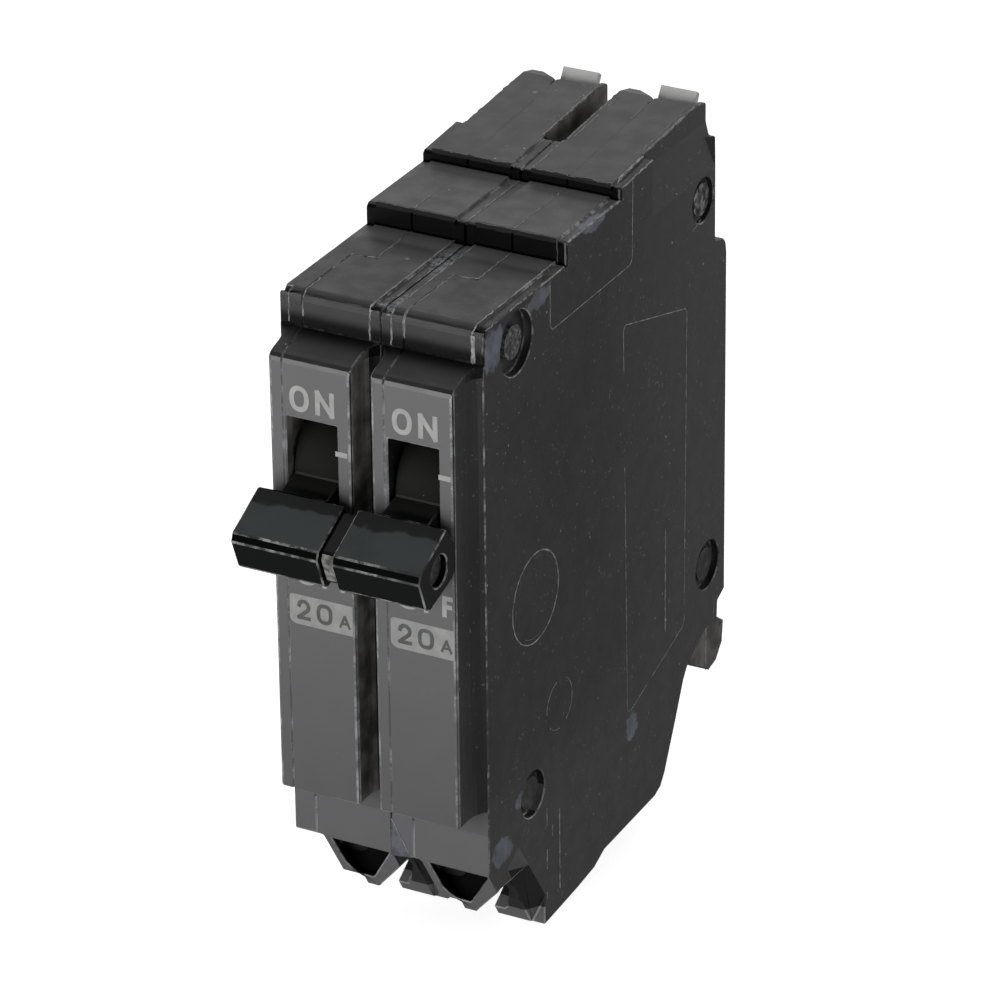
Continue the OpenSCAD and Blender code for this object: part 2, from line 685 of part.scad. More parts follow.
module rivets() {
    color([0.7, 0.7, 0.7]) for (s = rivet_spots) {
        x0 = left_pole + pole_x + s[3];
        x1 = pole_pitch - pole_x - s[3];
        bar_x(x0 - 0.5, x1 + 0.5, [s[0], s[1]], rivet_r);
        bar_x(x0 - 0.6, x0, [s[0], s[1]], rivet_r + 0.7);
        bar_x(x1, x1 + 0.6, [s[0], s[1]], rivet_r + 0.7);
    }
}

place(left_pole) base_shell(true);  // base_shell_left
place() base_shell();  // base_shell_right
place(left_pole) cover_shell(true);  // cover_shell_left
place() cover_shell();  // cover_shell_right
place(left_pole) handle();  // handle_left
place() handle();  // handle_right
place() tie_pin();
place() tie_spacer();
place(left_pole) line_jaw();  // line_jaw_left
place() line_jaw();  // line_jaw_right
place(left_pole) fixed_contact();  // fixed_contact_left
place() fixed_contact();  // fixed_contact_right
place(left_pole) contact_arm();  // contact_arm_left
place() contact_arm();  // contact_arm_right
place(left_pole) moving_contact();  // moving_contact_left
place() moving_contact();  // moving_contact_right
place(left_pole) trip_lever();  // trip_lever_left
place() trip_lever();  // trip_lever_right
place(left_pole) toggle_spring();  // toggle_spring_left
place() toggle_spring();  // toggle_spring_right
place(left_pole) bimetal();  // bimetal_left
place() bimetal();  // bimetal_right
place(left_pole) magnet_yoke();  // magnet_yoke_left
place() magnet_yoke();  // magnet_yoke_right
place(left_pole) armature();  // armature_left
place() armature();  // armature_right
place(left_pole) calibration_screw();  // calibration_screw_left
place() calibration_screw();  // calibration_screw_right
place(left_pole) braid();  // braid_left
place() braid();  // braid_right
place(left_pole) load_strap();  // load_strap_left
place() load_strap();  // load_strap_right
place(left_pole) clamp_plate();  // clamp_plate_left
place() clamp_plate();  // clamp_plate_right
place(left_pole) terminal_screw();  // terminal_screw_left
place() terminal_screw();  // terminal_screw_right
place(left_pole) arc_plates();  // arc_plates_left
place() arc_plates();  // arc_plates_right
place(left_pole) arc_frame();  // arc_frame_left
place() arc_frame();  // arc_frame_right
place() trip_bar();
place() rivets();
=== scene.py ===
import bpy
import math
from mathutils import Matrix, Vector
from mathutils.noise import noise


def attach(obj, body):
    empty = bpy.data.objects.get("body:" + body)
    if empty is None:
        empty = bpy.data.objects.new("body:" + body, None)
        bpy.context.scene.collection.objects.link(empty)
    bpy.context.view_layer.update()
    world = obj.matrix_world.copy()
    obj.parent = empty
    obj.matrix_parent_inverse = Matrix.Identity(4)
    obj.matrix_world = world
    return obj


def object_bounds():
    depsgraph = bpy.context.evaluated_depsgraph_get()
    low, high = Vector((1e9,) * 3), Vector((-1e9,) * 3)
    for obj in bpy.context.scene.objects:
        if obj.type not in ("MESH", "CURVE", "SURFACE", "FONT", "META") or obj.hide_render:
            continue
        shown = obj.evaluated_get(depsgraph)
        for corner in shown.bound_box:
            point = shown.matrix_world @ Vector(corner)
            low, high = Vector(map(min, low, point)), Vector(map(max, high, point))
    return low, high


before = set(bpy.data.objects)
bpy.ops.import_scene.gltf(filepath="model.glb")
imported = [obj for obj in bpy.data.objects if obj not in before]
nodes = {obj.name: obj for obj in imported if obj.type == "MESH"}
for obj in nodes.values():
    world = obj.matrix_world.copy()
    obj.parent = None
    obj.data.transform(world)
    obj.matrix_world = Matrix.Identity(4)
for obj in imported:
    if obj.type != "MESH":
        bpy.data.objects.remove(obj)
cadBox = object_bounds()
mm = 0.001
sides = ("left", "right")

scene = bpy.context.scene
scene.view_settings.view_transform = "Standard"

# Measures shared by the pieces, in millimetres.
# Drawing coordinates: X across the poles, Y back from the label face, Z up from the foot.
labelToMiddle = 28.25
polePitch = 12.7
poleStart = {"left": -12.7, "right": 0.0}
sideFace = 12.65
tierTop = {"first": 81.5, "second": 84.1, "third": 85.4}
stepAt = {"first": 24.6, "second": 37.9, "rebate": 46.0}
blockFront = 4.9
shoulder = {"width": 1.22, "drop": 0.3, "from": 0.6}
frontRound = 1.2  # radius of the block's upper front edge
rearRise = {"from": 38.3, "over": 21.6, "by": 1.4}


def spot(x, y, z):
    return Vector((x, y - labelToMiddle, z)) * mm


# height of the stepped top at local x and y, with the lowered strips along its sides
def topHeight(x, y):
    if y < blockFront + frontRound:
        turn = (blockFront + frontRound - y) / frontRound
        high = tierTop["first"] - frontRound * (1 - math.sqrt(max(0.0, 1 - turn * turn)))
    elif y < stepAt["first"]:
        high = tierTop["first"]
    elif y < stepAt["second"]:
        high = tierTop["second"]
    else:
        high = tierTop["third"] + rearRise["by"] * (y - rearRise["from"]) / rearRise["over"]
    outer = x < shoulder["width"] - 0.01 or x > polePitch - shoulder["width"] + 0.01
    lowered = outer and blockFront + shoulder["from"] < y < stepAt["rebate"]
    return high - (shoulder["drop"] if lowered else 0)


# Camera
view = {
    "azimuth": 28.19,
    "elevation": 26.64,
    "roll": -0.68,
    "distance": 683.6 * mm,
    "lookAt": Vector((1.07, 1.75, 47.14)) * mm,
    "lens": 214.7,
}


def makeCamera():
    az, el, roll = (math.radians(view[k]) for k in ("azimuth", "elevation", "roll"))
    back = Vector((math.sin(az) * math.cos(el), -math.cos(az) * math.cos(el), math.sin(el)))
    right = (-back).cross(Vector((0, 0, 1))).normalized()
    up = right.cross(-back)
    right, up = (right * math.cos(roll) + up * math.sin(roll), up * math.cos(roll) - right * math.sin(roll))
    data = bpy.data.cameras.new("camera")
    data.lens = view["lens"]
    data.clip_start, data.clip_end = 0.01, 20
    camera = bpy.data.objects.new("camera", data)
    camera.matrix_world = Matrix((right, up, back)).transposed().to_4x4()
    camera.location = view["lookAt"] + back * view["distance"]
    scene.collection.objects.link(camera)
    scene.camera = camera


# Lights, floor and world
lamps = {
    "front": {"place": (-0.35, -1.0, 0.3), "size": (0.9, 0.5), "power": 5.6},
    "top": {"place": (-0.25, 0.1, 1.05), "size": (0.8, 0.7), "power": 1.7},
    "side": {"place": (1.0, 0.35, 0.3), "size": (0.6, 0.6), "power": 1.0},
}
room = {
    "frontBelow": 1.1,
    "backBelow": 0.22,
    "bounceFrom": -0.115,
    "bounceTo": -0.08,
    "frontAbove": 0.12,
    "backAbove": 0.95,
    "overhead": 0.22,
    "backFrom": -0.25,
    "backTo": 0.6,
    "overheadFrom": 0.5,
    "overheadTo": 0.75,
    "seenFloor": 0.84,
    "floorHalf": 3.0,
}


def makeLamps():
    for name, lamp in lamps.items():
        data = bpy.data.lights.new(name + "Lamp", "AREA")
        data.shape = "RECTANGLE"
        data.size, data.size_y = lamp["size"]
        data.energy = lamp["power"]
        obj = bpy.data.objects.new(name + "Lamp", data)
        obj.location = lamp["place"]
        aim = Vector((0, 0, 0.045)) - obj.location
        obj.rotation_euler = aim.to_track_quat("-Z", "Y").to_euler()
        scene.collection.objects.link(obj)


# adds a shader node; an input is given a value or is joined to another node's socket
def put(tree, kind, inputs=None, **settings):
    made = tree.nodes.new(kind)
    for key, value in settings.items():
        setattr(made, key, value)
    for key, value in (inputs or {}).items():
        if isinstance(value, bpy.types.NodeSocket):
            tree.links.new(value, made.inputs[key])
        else:
            made.inputs[key].default_value = value
    return made


def newMaterial(name):
    made = bpy.data.materials.new(name)
    made.use_nodes = True
    made.node_tree.nodes.clear()
    return made, made.node_tree


def grey(value):
    return (value, value, value, 1)


def makeFloor():
    half = room["floorHalf"]
    mesh = bpy.data.meshes.new("floor")
    mesh.from_pydata([(-half, -half, 0), (half, -half, 0), (half, half, 0), (-half, half, 0)], [], [(0, 1, 2, 3)])
    floor = bpy.data.objects.new("floor", mesh)
    floor.location.z = cadBox[0].z - 0.0002
    scene.collection.objects.link(floor)
    made, tree = newMaterial("paleFloor")
    path = put(tree, "ShaderNodeLightPath")
    paint = put(tree, "ShaderNodeBsdfDiffuse", {"Color": grey(0.8)})
    glow = put(tree, "ShaderNodeEmission", {"Strength": room["seenFloor"]})
    seen = put(tree, "ShaderNodeAddShader", {0: paint.outputs[0], 1: glow.outputs[0]})
    place = put(tree, "ShaderNodeSeparateXYZ", {0: put(tree, "ShaderNodeNewGeometry").outputs["Position"]})
    fade = put(tree, "ShaderNodeMapRange", {
        "Value": place.outputs["Y"], "From Min": room["bounceFrom"], "From Max": room["bounceTo"],
        "To Min": room["frontBelow"], "To Max": room["backBelow"],
    }, interpolation_type="SMOOTHSTEP")
    bounce = put(tree, "ShaderNodeEmission", {"Strength": fade.outputs[0]})
    mix = put(tree, "ShaderNodeMixShader", {
        0: path.outputs["Is Camera Ray"], 1: bounce.outputs[0], 2: seen.outputs[0],
    })
    put(tree, "ShaderNodeOutputMaterial", {"Surface": mix.outputs[0]})
    mesh.materials.append(made)


def makeWorld():
    world = bpy.data.worlds.new("studio")
    world.use_nodes = True
    scene.world = world
    tree = world.node_tree
    tree.nodes.clear()
    path = put(tree, "ShaderNodeLightPath")
    way = put(tree, "ShaderNodeSeparateXYZ", {0: put(tree, "ShaderNodeTexCoord").outputs["Generated"]})
    fade = put(tree, "ShaderNodeMapRange", {
        "Value": way.outputs["Y"], "From Min": room["backFrom"], "From Max": room["backTo"],
        "To Min": room["frontAbove"], "To Max": room["backAbove"],
    }, interpolation_type="SMOOTHSTEP")
    high = put(tree, "ShaderNodeMapRange", {
        "Value": way.outputs["Z"], "From Min": room["overheadFrom"], "From Max": room["overheadTo"],
        "To Min": 1.0, "To Max": room["overhead"],
    }, interpolation_type="SMOOTHSTEP")
    level = put(tree, "ShaderNodeMath", {0: fade.outputs[0], 1: high.outputs[0]}, operation="MULTIPLY")
    walls = put(tree, "ShaderNodeBackground", {"Color": grey(1), "Strength": level.outputs[0]})
    white = put(tree, "ShaderNodeBackground", {"Color": grey(1), "Strength": 1.0})
    clear = put(tree, "ShaderNodeMath", {
        0: path.outputs["Is Camera Ray"], 1: path.outputs["Is Transmission Ray"],
    }, operation="MAXIMUM")
    mix = put(tree, "ShaderNodeMixShader", {0: clear.outputs[0], 1: walls.outputs[0], 2: white.outputs[0]})
    put(tree, "ShaderNodeOutputWorld", {"Surface": mix.outputs[0]})


makeCamera()
makeLamps()
makeFloor()
makeWorld()
print("camera, lamps and floor ready")

# Shared surface effects: node groups whose sizes are in millimetres


def newEffect(name, inputs, output="Mask"):
    tree = bpy.data.node_groups.new(name, "ShaderNodeTree")
    for key, value in inputs.items():
        kind = "NodeSocketVector" if isinstance(value, tuple) else "NodeSocketFloat"
        tree.interface.new_socket(key, in_out="INPUT", socket_type=kind).default_value = value
    kind = "NodeSocketVector" if output == "Normal" else "NodeSocketFloat"
    tree.interface.new_socket(output, in_out="OUTPUT", socket_type=kind)
    given, result = put(tree, "NodeGroupInput"), put(tree, "NodeGroupOutput")
    return tree, given.outputs, result.inputs[output]


def inMillimetres(tree, stretch=(1, 1, 1), turn=(0, 0, 0)):
    place = put(tree, "ShaderNodeTexCoord")
    sized = put(tree, "ShaderNodeMapping", {
        "Vector": place.outputs["Object"], "Scale": tuple(1000 * s for s in stretch),
        "Rotation": tuple(math.radians(t) for t in turn),
    })
    return sized.outputs[0]


def math2(tree, operation, a, b):
    return put(tree, "ShaderNodeMath", {0: a, 1: b}, operation=operation).outputs[0]


def chain(tree, operation, values):
    total = values[0]
    for value in values[1:]:
        total = math2(tree, operation, total, value)
    return total


def times(tree, *values):
    return chain(tree, "MULTIPLY", values)


def plus(tree, *values):
    return chain(tree, "ADD", values)


def most(tree, *values):
    return chain(tree, "MAXIMUM", values)


def minus(tree, a, b):
    return math2(tree, "SUBTRACT", a, b)


def over(tree, value, limit):
    return math2(tree, "GREATER_THAN", value, limit)


def under(tree, value, limit):
    return math2(tree, "LESS_THAN", value, limit)


def between(tree, value, low, high):
    return times(tree, over(tree, value, low), under(tree, value, high))


# rises smoothly from nought at low to one at high
def above(tree, value, low, high):
    return put(tree, "ShaderNodeMapRange", {"Value": value, "From Min": low, "From Max": high},
               interpolation_type="SMOOTHSTEP").outputs[0]


def clouds(tree, scale, detail, place=None, **more):
    place = inMillimetres(tree) if place is None else place
    return put(tree, "ShaderNodeTexNoise", {"Vector": place, "Scale": scale, "Detail": detail, **more}).outputs[0]


# small pale grains scattered thinly, in clusters
def makeSpecks():
    tree, given, mask = newEffect("specks", {"Every": 1.5, "Size": 0.12, "Share": 0.4})
    often = math2(tree, "DIVIDE", 1.0, given["Every"])
    cells = put(tree, "ShaderNodeTexVoronoi", {"Vector": inMillimetres(tree), "Scale": often})
    ragged = times(tree, clouds(tree, 5.0, 1.0), 2.0)
    grain = under(tree, cells.outputs["Distance"], times(tree, given["Size"], often, ragged))
    chosen = put(tree, "ShaderNodeSeparateColor", {0: cells.outputs["Color"]}).outputs[0]
    crowded = above(tree, clouds(tree, 0.13, 2.0), 0.42, 0.62)
    tree.links.new(times(tree, grain, under(tree, chosen, given["Share"]), crowded), mask)
    return tree


# short pale hairlines that cross in three directions
def makeScratches():
    tree, given, mask = newEffect("scratches", {"Amount": 0.5})
    crossing = []
    for turn in ((24, 35, 52), (-38, 12, -20), (70, -31, 8)):
        drawnOut = inMillimetres(tree, (0.08, 2.2, 2.2), turn)
        thin = above(tree, clouds(tree, 1.0, 0.0, drawnOut, Distortion=0.15), 0.775, 0.80)
        patch = above(tree, clouds(tree, 0.21, 1.0, inMillimetres(tree, turn=turn)), 0.5, 0.62)
        crossing.append(times(tree, thin, patch))
    tree.links.new(times(tree, most(tree, *crossing), given["Amount"]), mask)
    return tree


# broad soft clouds, from nought to one
def makeSmudge():
    tree, given, mask = newEffect("smudge", {"Across": 12.0})
    soft = clouds(tree, math2(tree, "DIVIDE", 1.0, given["Across"]), 4.0)
    tree.links.new(above(tree, soft, 0.3, 0.7), mask)
    return tree


# one worn patch with a ragged border; Centre and Reach are in drawing coordinates
def makeRub():
    tree, given, mask = newEffect("rub", {"Centre": (0.0, 0.0, 0.0), "Reach": (1.0, 1.0, 1.0)})
    drawn = inMillimetres(tree)
    steps = (("ADD", (0.0, labelToMiddle, 0.0)), ("SUBTRACT", given["Centre"]), ("DIVIDE", given["Reach"]))
    away = drawn
    for operation, value in steps:
        away = put(tree, "ShaderNodeVectorMath", {0: away, 1: value}, operation=operation).outputs[0]
        drawn = away if operation == "ADD" else drawn
    far = put(tree, "ShaderNodeVectorMath", {0: away}, operation="LENGTH").outputs["Value"]
    ragged = minus(tree, clouds(tree, 0.9, 4.0, drawn), 0.5)
    depth = plus(tree, minus(tree, 1.35, far), times(tree, ragged, 1.3))
    tree.links.new(above(tree, depth, 0.3, 0.55), mask)
    return tree


# fine unevenness of a moulded or rolled skin
def makeGrain():
    tree, given, normal = newEffect("grain", {"PerMm": 3.0, "Depth": 0.2}, "Normal")
    bumps = clouds(tree, given["PerMm"], 3.0)
    made = put(tree, "ShaderNodeBump", {"Strength": given["Depth"], "Distance": 0.05 * mm, "Height": bumps})
    tree.links.new(made.outputs[0], normal)
    return tree


effects = {
    "specks": makeSpecks(), "scratches": makeScratches(), "smudge": makeSmudge(), "rub": makeRub(),
    "grain": makeGrain(),
}


def useEffect(tree, name, **values):
    made = tree.nodes.new("ShaderNodeGroup")
    made.node_tree = effects[name]
    for key, value in values.items():
        made.inputs[key].default_value = value
    return made.outputs[0]


def blendColor(tree, share, first, second):
    made = put(tree, "ShaderNodeMix", data_type="RGBA")
    for key, value in ((0, share), (6, first), (7, second)):
        if isinstance(value, bpy.types.NodeSocket):
            tree.links.new(value, made.inputs[key])
        else:
            made.inputs[key].default_value = value
    return made.outputs[2]


def layered(tree, color, layers):
    for mask, tone in layers:
        color = blendColor(tree, mask, color, tone)
    return color


def finished(made, tree, settings):
    skin = put(tree, "ShaderNodeBsdfPrincipled", settings)
    put(tree, "ShaderNodeOutputMaterial", {"Surface": skin.outputs[0]})
    return made


print("surface effects ready")


# Materials


# the surface point in drawing coordinates, as three sockets
def drawnPlace(tree):
    place = put(tree, "ShaderNodeSeparateXYZ", {0: inMillimetres(tree)})
    return place.outputs["X"], plus(tree, place.outputs["Y"], labelToMiddle), place.outputs["Z"]


def facingWay(tree):
    way = put(tree, "ShaderNodeSeparateXYZ", {0: put(tree, "ShaderNodeNewGeometry").outputs["True Normal"]})
    return way.outputs["X"], way.outputs["Y"], way.outputs["Z"]


def acrossPole(tree, x):
    return math2(tree, "MODULO", plus(tree, x, polePitch), polePitch)


# painted shade, near black and with little shine, in places where no light gets in: y, z and x ranges in drawing
# coordinates
paintedShade = {
    "tone": grey(0.002),
    "shine": (0.5, 0.1),
    "steps": (("first", 81.0, 83.86), ("second", 83.7, 85.2)),
    "stepWall": (-0.35, 0.3),
    "corner": {
        "wallY": (blockFront - 0.06, blockFront + 0.4), "wallZ": (77.0, 80.2), "wallTop": 80.0,
        "wallFade": (0.5, 1.9), "roofY": (1.0, blockFront + 0.02), "roofZ": (75.8, 77.5),
        "roofFade": (1.8, blockFront - 0.2), "share": 0.92,
    },
    "mouth": {
        "slope": 0.607, "behind": 13.37, "y": (blockFront + 0.45, 11.0), "z": (4.0, 18.0), "across": (1.8, 11.6),
        "middle": (6.7, 8.5, 11.0),
    },
    "notch": {"y": (11.2, 22.0), "z": (2.35, 10.0), "ahead": -0.3, "share": 0.85},
}


# mask of the painted shade: the step walls, a painted shadow at the foot of the block's front that fades upward and
# forward, the mouth and the notch
def paintedShadeMask(tree):
    x, y, z = drawnPlace(tree)
    facing = facingWay(tree)
    inFront, behind = paintedShade["stepWall"]
    masks = [
        times(tree, between(tree, y, stepAt[step] + inFront, stepAt[step] + behind), between(tree, z, low, high))
        for step, low, high in paintedShade["steps"]
    ]
    corner = paintedShade["corner"]
    wall = times(tree, between(tree, y, *corner["wallY"]), between(tree, z, *corner["wallZ"]),
                 above(tree, minus(tree, corner["wallTop"], z), *corner["wallFade"]))
    roof = times(tree, between(tree, y, *corner["roofY"]), between(tree, z, *corner["roofZ"]),
                 above(tree, y, *corner["roofFade"]))
    masks.append(times(tree, most(tree, wall, roof), corner["share"]))
    mouth = paintedShade["mouth"]
    across = acrossPole(tree, x)
    pastLip = over(tree, plus(tree, y, times(tree, z, mouth["slope"])), mouth["behind"])
    turned = plus(tree, *(
        times(tree, minus(tree, place, middle), way)
        for place, middle, way in zip((across, y, z), mouth["middle"], facing)))
    masks.append(times(tree, pastLip, between(tree, y, *mouth["y"]), between(tree, z, *mouth["z"]),
                       between(tree, across, *mouth["across"]), under(tree, turned, 0.0)))
    notch = paintedShade["notch"]
    masks.append(times(tree, between(tree, y, *notch["y"]), between(tree, z, *notch["z"]),
                       under(tree, facing[1], notch["ahead"]), notch["share"]))
    return most(tree, *masks)


# the parting line on the rear top, where it hardly shows: ranges across the pole and back, least height
quiet = {"across": (5.5, 6.3), "y": (38.5, 54.0), "z": 85.0}


def quietMask(tree):
    x, y, z = drawnPlace(tree)
    return times(tree, between(tree, acrossPole(tree, x), *quiet["across"]), between(tree, y, *quiet["y"]),
                 over(tree, z, quiet["z"]))


phenolicLook = {
    "dark": (0.0155, 0.0155, 0.0158, 1),
    "pale": (0.0245, 0.0245, 0.025, 1),
    "speck": (0.34, 0.34, 0.35, 1),
    "scratch": (0.22, 0.225, 0.24, 1),
    "rub": (0.19, 0.22, 0.27, 1),
    "roughness": (0.36, 0.48),
    "rear": (0.052, 0.052, 0.053, 1),
    "lowSideLight": (0.045, 0.045, 0.046, 1),
    "labelTone": (0.13, 0.13, 0.134, 1),
    "footLightTone": (0.165, 0.165, 0.17, 1),
    "paintedTopLight": (0.062, 0.062, 0.063, 1),
    "stepLightTone": (0.14, 0.14, 0.142, 1),
    "slitDark": (0.10, 0.096, 0.088, 1),
    "slitPale": (0.32, 0.31, 0.29, 1),
}
# where those tones lie, in drawing coordinates
zones = {
    # the side faces are painted lighter toward the rear and below lowFrom
    "rearFade": (24.0, 66.0),
    "lowFrom": 30.0,
    "lowFade": (0.0, 16.0),
    "labelBack": 5.5,
    "labelTop": 76.5,
    "topsFrom": 83.0,
    # painted light on the tops just before each step: the step, then how far before it the light starts and where it
    # is full
    "paintedStepLight": (("first", 4.2, 2.6), ("second", 2.3, 1.3)),
    "footBack": 17.0,
    "footTop": 18.5,
    "slitBack": 4.8,
    "gapFrom": 79.0,
    "seam": {"x": (-1.25, 1.25), "y": (5.0, stepAt["first"] - 0.4)},
}
# worn places: centre and reach
rubs = [
    ((12.65, 17.9, 79.9), (0.6, 2.9, 1.2)),
    ((12.4, 31.0, 83.5), (0.9, 2.8, 0.9)),
    ((12.65, 7.2, 78.2), (0.6, 2.5, 2.5)),
    ((12.65, 7.8, 15.0), (0.6, 2.3, 1.8)),
    ((12.65, 40.5, 15.2), (0.6, 1.6, 1.9)),
    ((12.65, 12.4, 19.5), (0.6, 1.3, 1.0)),
]


def makePhenolic():
    made, tree = newMaterial("phenolic")
    fine = useEffect(tree, "smudge", Across=2.5)
    x, y, z = drawnPlace(tree)
    facingX, facingY, facingZ = facingWay(tree)
    ahead, aside, upward = under(tree, facingY, -0.9), over(tree, facingX, 0.9), over(tree, facingZ, 0.9)
    label = times(tree, ahead, under(tree, y, zones["labelBack"]))
    # where the tops are painted lighter just before each riser
    lightBeforeStep = most(tree, *(
        times(tree, above(tree, y, stepAt[step] - far, stepAt[step] - near), under(tree, y, stepAt[step]))
        for step, far, near in zones["paintedStepLight"]))
    below = times(tree, under(tree, facingZ, -0.2), under(tree, y, zones["footBack"]))
    foot = times(tree, most(tree, under(tree, facingY, -0.3), below), under(tree, z, zones["footTop"]))
    # the walls inside the slit and the rear gap between the poles: painted light where the narrow gap would be dark,
    # with a dusty mottle
    innerSide = times(tree, aside, under(tree, x, 0.0))
    gap = times(tree, innerSide, over(tree, y, stepAt["rebate"]), over(tree, z, zones["gapFrom"]))
    slit = most(tree, times(tree, innerSide, under(tree, y, zones["slitBack"])), gap)
    worn = most(tree, *(useEffect(tree, "rub", Centre=centre, Reach=reach) for centre, reach in rubs))
    plain = minus(tree, 1.0, times(tree, label, 0.9))
    calm = times(tree, most(tree, upward, over(tree, facingY, 0.5)), 0.85)  # few hairlines on the top and back
    seam = times(tree, between(tree, x, *zones["seam"]["x"]), between(tree, y, *zones["seam"]["y"]))
    lowDown = above(tree, minus(tree, zones["lowFrom"], z), *zones["lowFade"])
    paintedShadeArea = paintedShadeMask(tree)
    base = blendColor(tree, useEffect(tree, "smudge", Across=14.0), phenolicLook["dark"], phenolicLook["pale"])
    color = layered(tree, base, (
        # painted light: the side faces lighter toward the rear and toward the bottom
        (times(tree, aside, above(tree, y, *zones["rearFade"])), phenolicLook["rear"]),
        (times(tree, aside, lowDown), phenolicLook["lowSideLight"]),
        # the label faces lighter: partly a greyer label finish, partly painted light on the faces that look forward
        (times(tree, label, under(tree, z, zones["labelTop"])), phenolicLook["labelTone"]),
        # painted light: the tops of the upper tiers are lighter
        (times(tree, upward, over(tree, z, zones["topsFrom"])), phenolicLook["paintedTopLight"]),
        # painted light on the tops just before each riser, against the riser's dark reflection
        (times(tree, lightBeforeStep, upward, 0.8), phenolicLook["stepLightTone"]),
        # painted light: the foot's faces that look forward and down are lighter
        (foot, phenolicLook["footLightTone"]),
        # painted light with a dusty mottle on the slit walls
        (slit, blendColor(tree, fine, phenolicLook["slitDark"], phenolicLook["slitPale"])),
        (times(tree, worn, plus(tree, times(tree, fine, 0.6), 0.35)), phenolicLook["rub"]),
        (times(tree, useEffect(tree, "scratches", Amount=0.45), minus(tree, plain, calm)), phenolicLook["scratch"]),
        (times(tree, useEffect(tree, "specks", Every=2.1, Size=0.13, Share=0.5), plain), phenolicLook["speck"]),
        (times(tree, useEffect(tree, "specks", Every=4.3, Size=0.3, Share=0.35), plain), phenolicLook["scratch"]),
        (times(tree, useEffect(tree, "specks", Every=0.42, Size=0.3, Share=0.6), seam), phenolicLook["scratch"]),
        # painted shade in the hollows, near black
        (paintedShadeArea, paintedShade["tone"]),
    ))
    smooth, dull = phenolicLook["roughness"]
    exposed, shut = paintedShade["shine"]
    return finished(made, tree, {
        "Base Color": color,
        # less shine under the painted shade
        "Specular IOR Level": put(tree, "ShaderNodeMapRange", {
            "Value": paintedShadeArea, "To Min": exposed, "To Max": shut}).outputs[0],
        "Roughness": put(tree, "ShaderNodeMapRange", {"Value": fine, "To Min": smooth, "To Max": dull}).outputs[0],
        "Normal": useEffect(tree, "grain", PerMm=2.4, Depth=0.22),
    })


wornLook = {
    "phenolic": {
        "under": (0.05, 0.05, 0.051, 1), "label": (0.15, 0.15, 0.155, 1), "worn": (0.42, 0.42, 0.43, 1),
        "kept": (0.42, 0.66), "moreBelow": 18.0,
    },
    "handle": {
        "under": (0.012, 0.013, 0.013, 1), "label": (0.012, 0.013, 0.013, 1), "worn": (0.36, 0.36, 0.35, 1),
        "kept": (0.40, 0.62), "innerFrom": -2.25,
    },
}


# broken pale line along the edges of a moulding; it dies out under the painted shade in the hollows
def makeWorn(kind):
    edge = wornLook[kind]
    made, tree = newMaterial(kind + "Worn")
    y, z = drawnPlace(tree)[1:]
    paintedShadeArea = paintedShadeMask(tree)
    lit = minus(tree, 1.0, paintedShadeArea)
    broad = above(tree, clouds(tree, 0.12, 1.0), 0.3, 0.5)
    if kind == "phenolic":
        more = times(tree, under(tree, z, edge["moreBelow"]), 0.14)
    else:
        more = times(tree, over(tree, y, edge["innerFrom"]), -0.5)
    broken = above(tree, plus(tree, clouds(tree, 0.55, 5.0, Roughness=0.7), more), *edge["kept"])
    mask = times(tree, broken, broad, lit, minus(tree, 1.0, quietMask(tree)))
    # edges on the label faces take its lighter tone, which is partly painted light
    onLabel = times(tree, under(tree, y, 1.5), under(tree, z, 75.0))
    color = layered(tree, edge["under"], (
        # the painted shade in the hollows covers the edge lines too
        (onLabel, edge["label"]), (paintedShadeArea, paintedShade["tone"]), (mask, edge["worn"]),
    ))
    return finished(made, tree, {
        "Base Color": color, "Roughness": 0.6, "Specular IOR Level": times(tree, lit, paintedShade["shine"][0]),
    })


# colour that drifts between two tones, with a fine grain
def makeSimple(name, color, other, rough, metal=0.0, grain=0.15, perMm=3.0, across=4.0, specks=0.0):
    made, tree = newMaterial(name)
    tone = blendColor(tree, useEffect(tree, "smudge", Across=across), (*color, 1), (*other, 1))
    if specks:
        tone = blendColor(tree, useEffect(tree, "specks", Every=1.6, Size=0.14, Share=specks), tone, grey(0.3))
    return finished(made, tree, {
        "Base Color": tone, "Roughness": rough, "Metallic": metal,
        "Normal": useEffect(tree, "grain", PerMm=perMm, Depth=grain),
    })


def makeFlash():
    made, tree = newMaterial("flashLine")
    broken = above(tree, clouds(tree, 0.8, 5.0, Roughness=0.75), 0.35, 0.65)
    return finished(made, tree, {
        "Base Color": blendColor(tree, broken, grey(0.13), (0.47, 0.47, 0.475, 1)), "Roughness": 0.6,
    })


handleLook = {
    "black": (0.004, 0.0045, 0.0045, 1),
    "paintedSheen": (0.046, 0.055, 0.054, 1),
    "drum": (0.013, 0.0135, 0.011, 1),
    "roughness": (0.22, 0.7),
    "shine": 0.13,
    "stemFrom": -4.4,
    "lipFrom": -8.2,
}


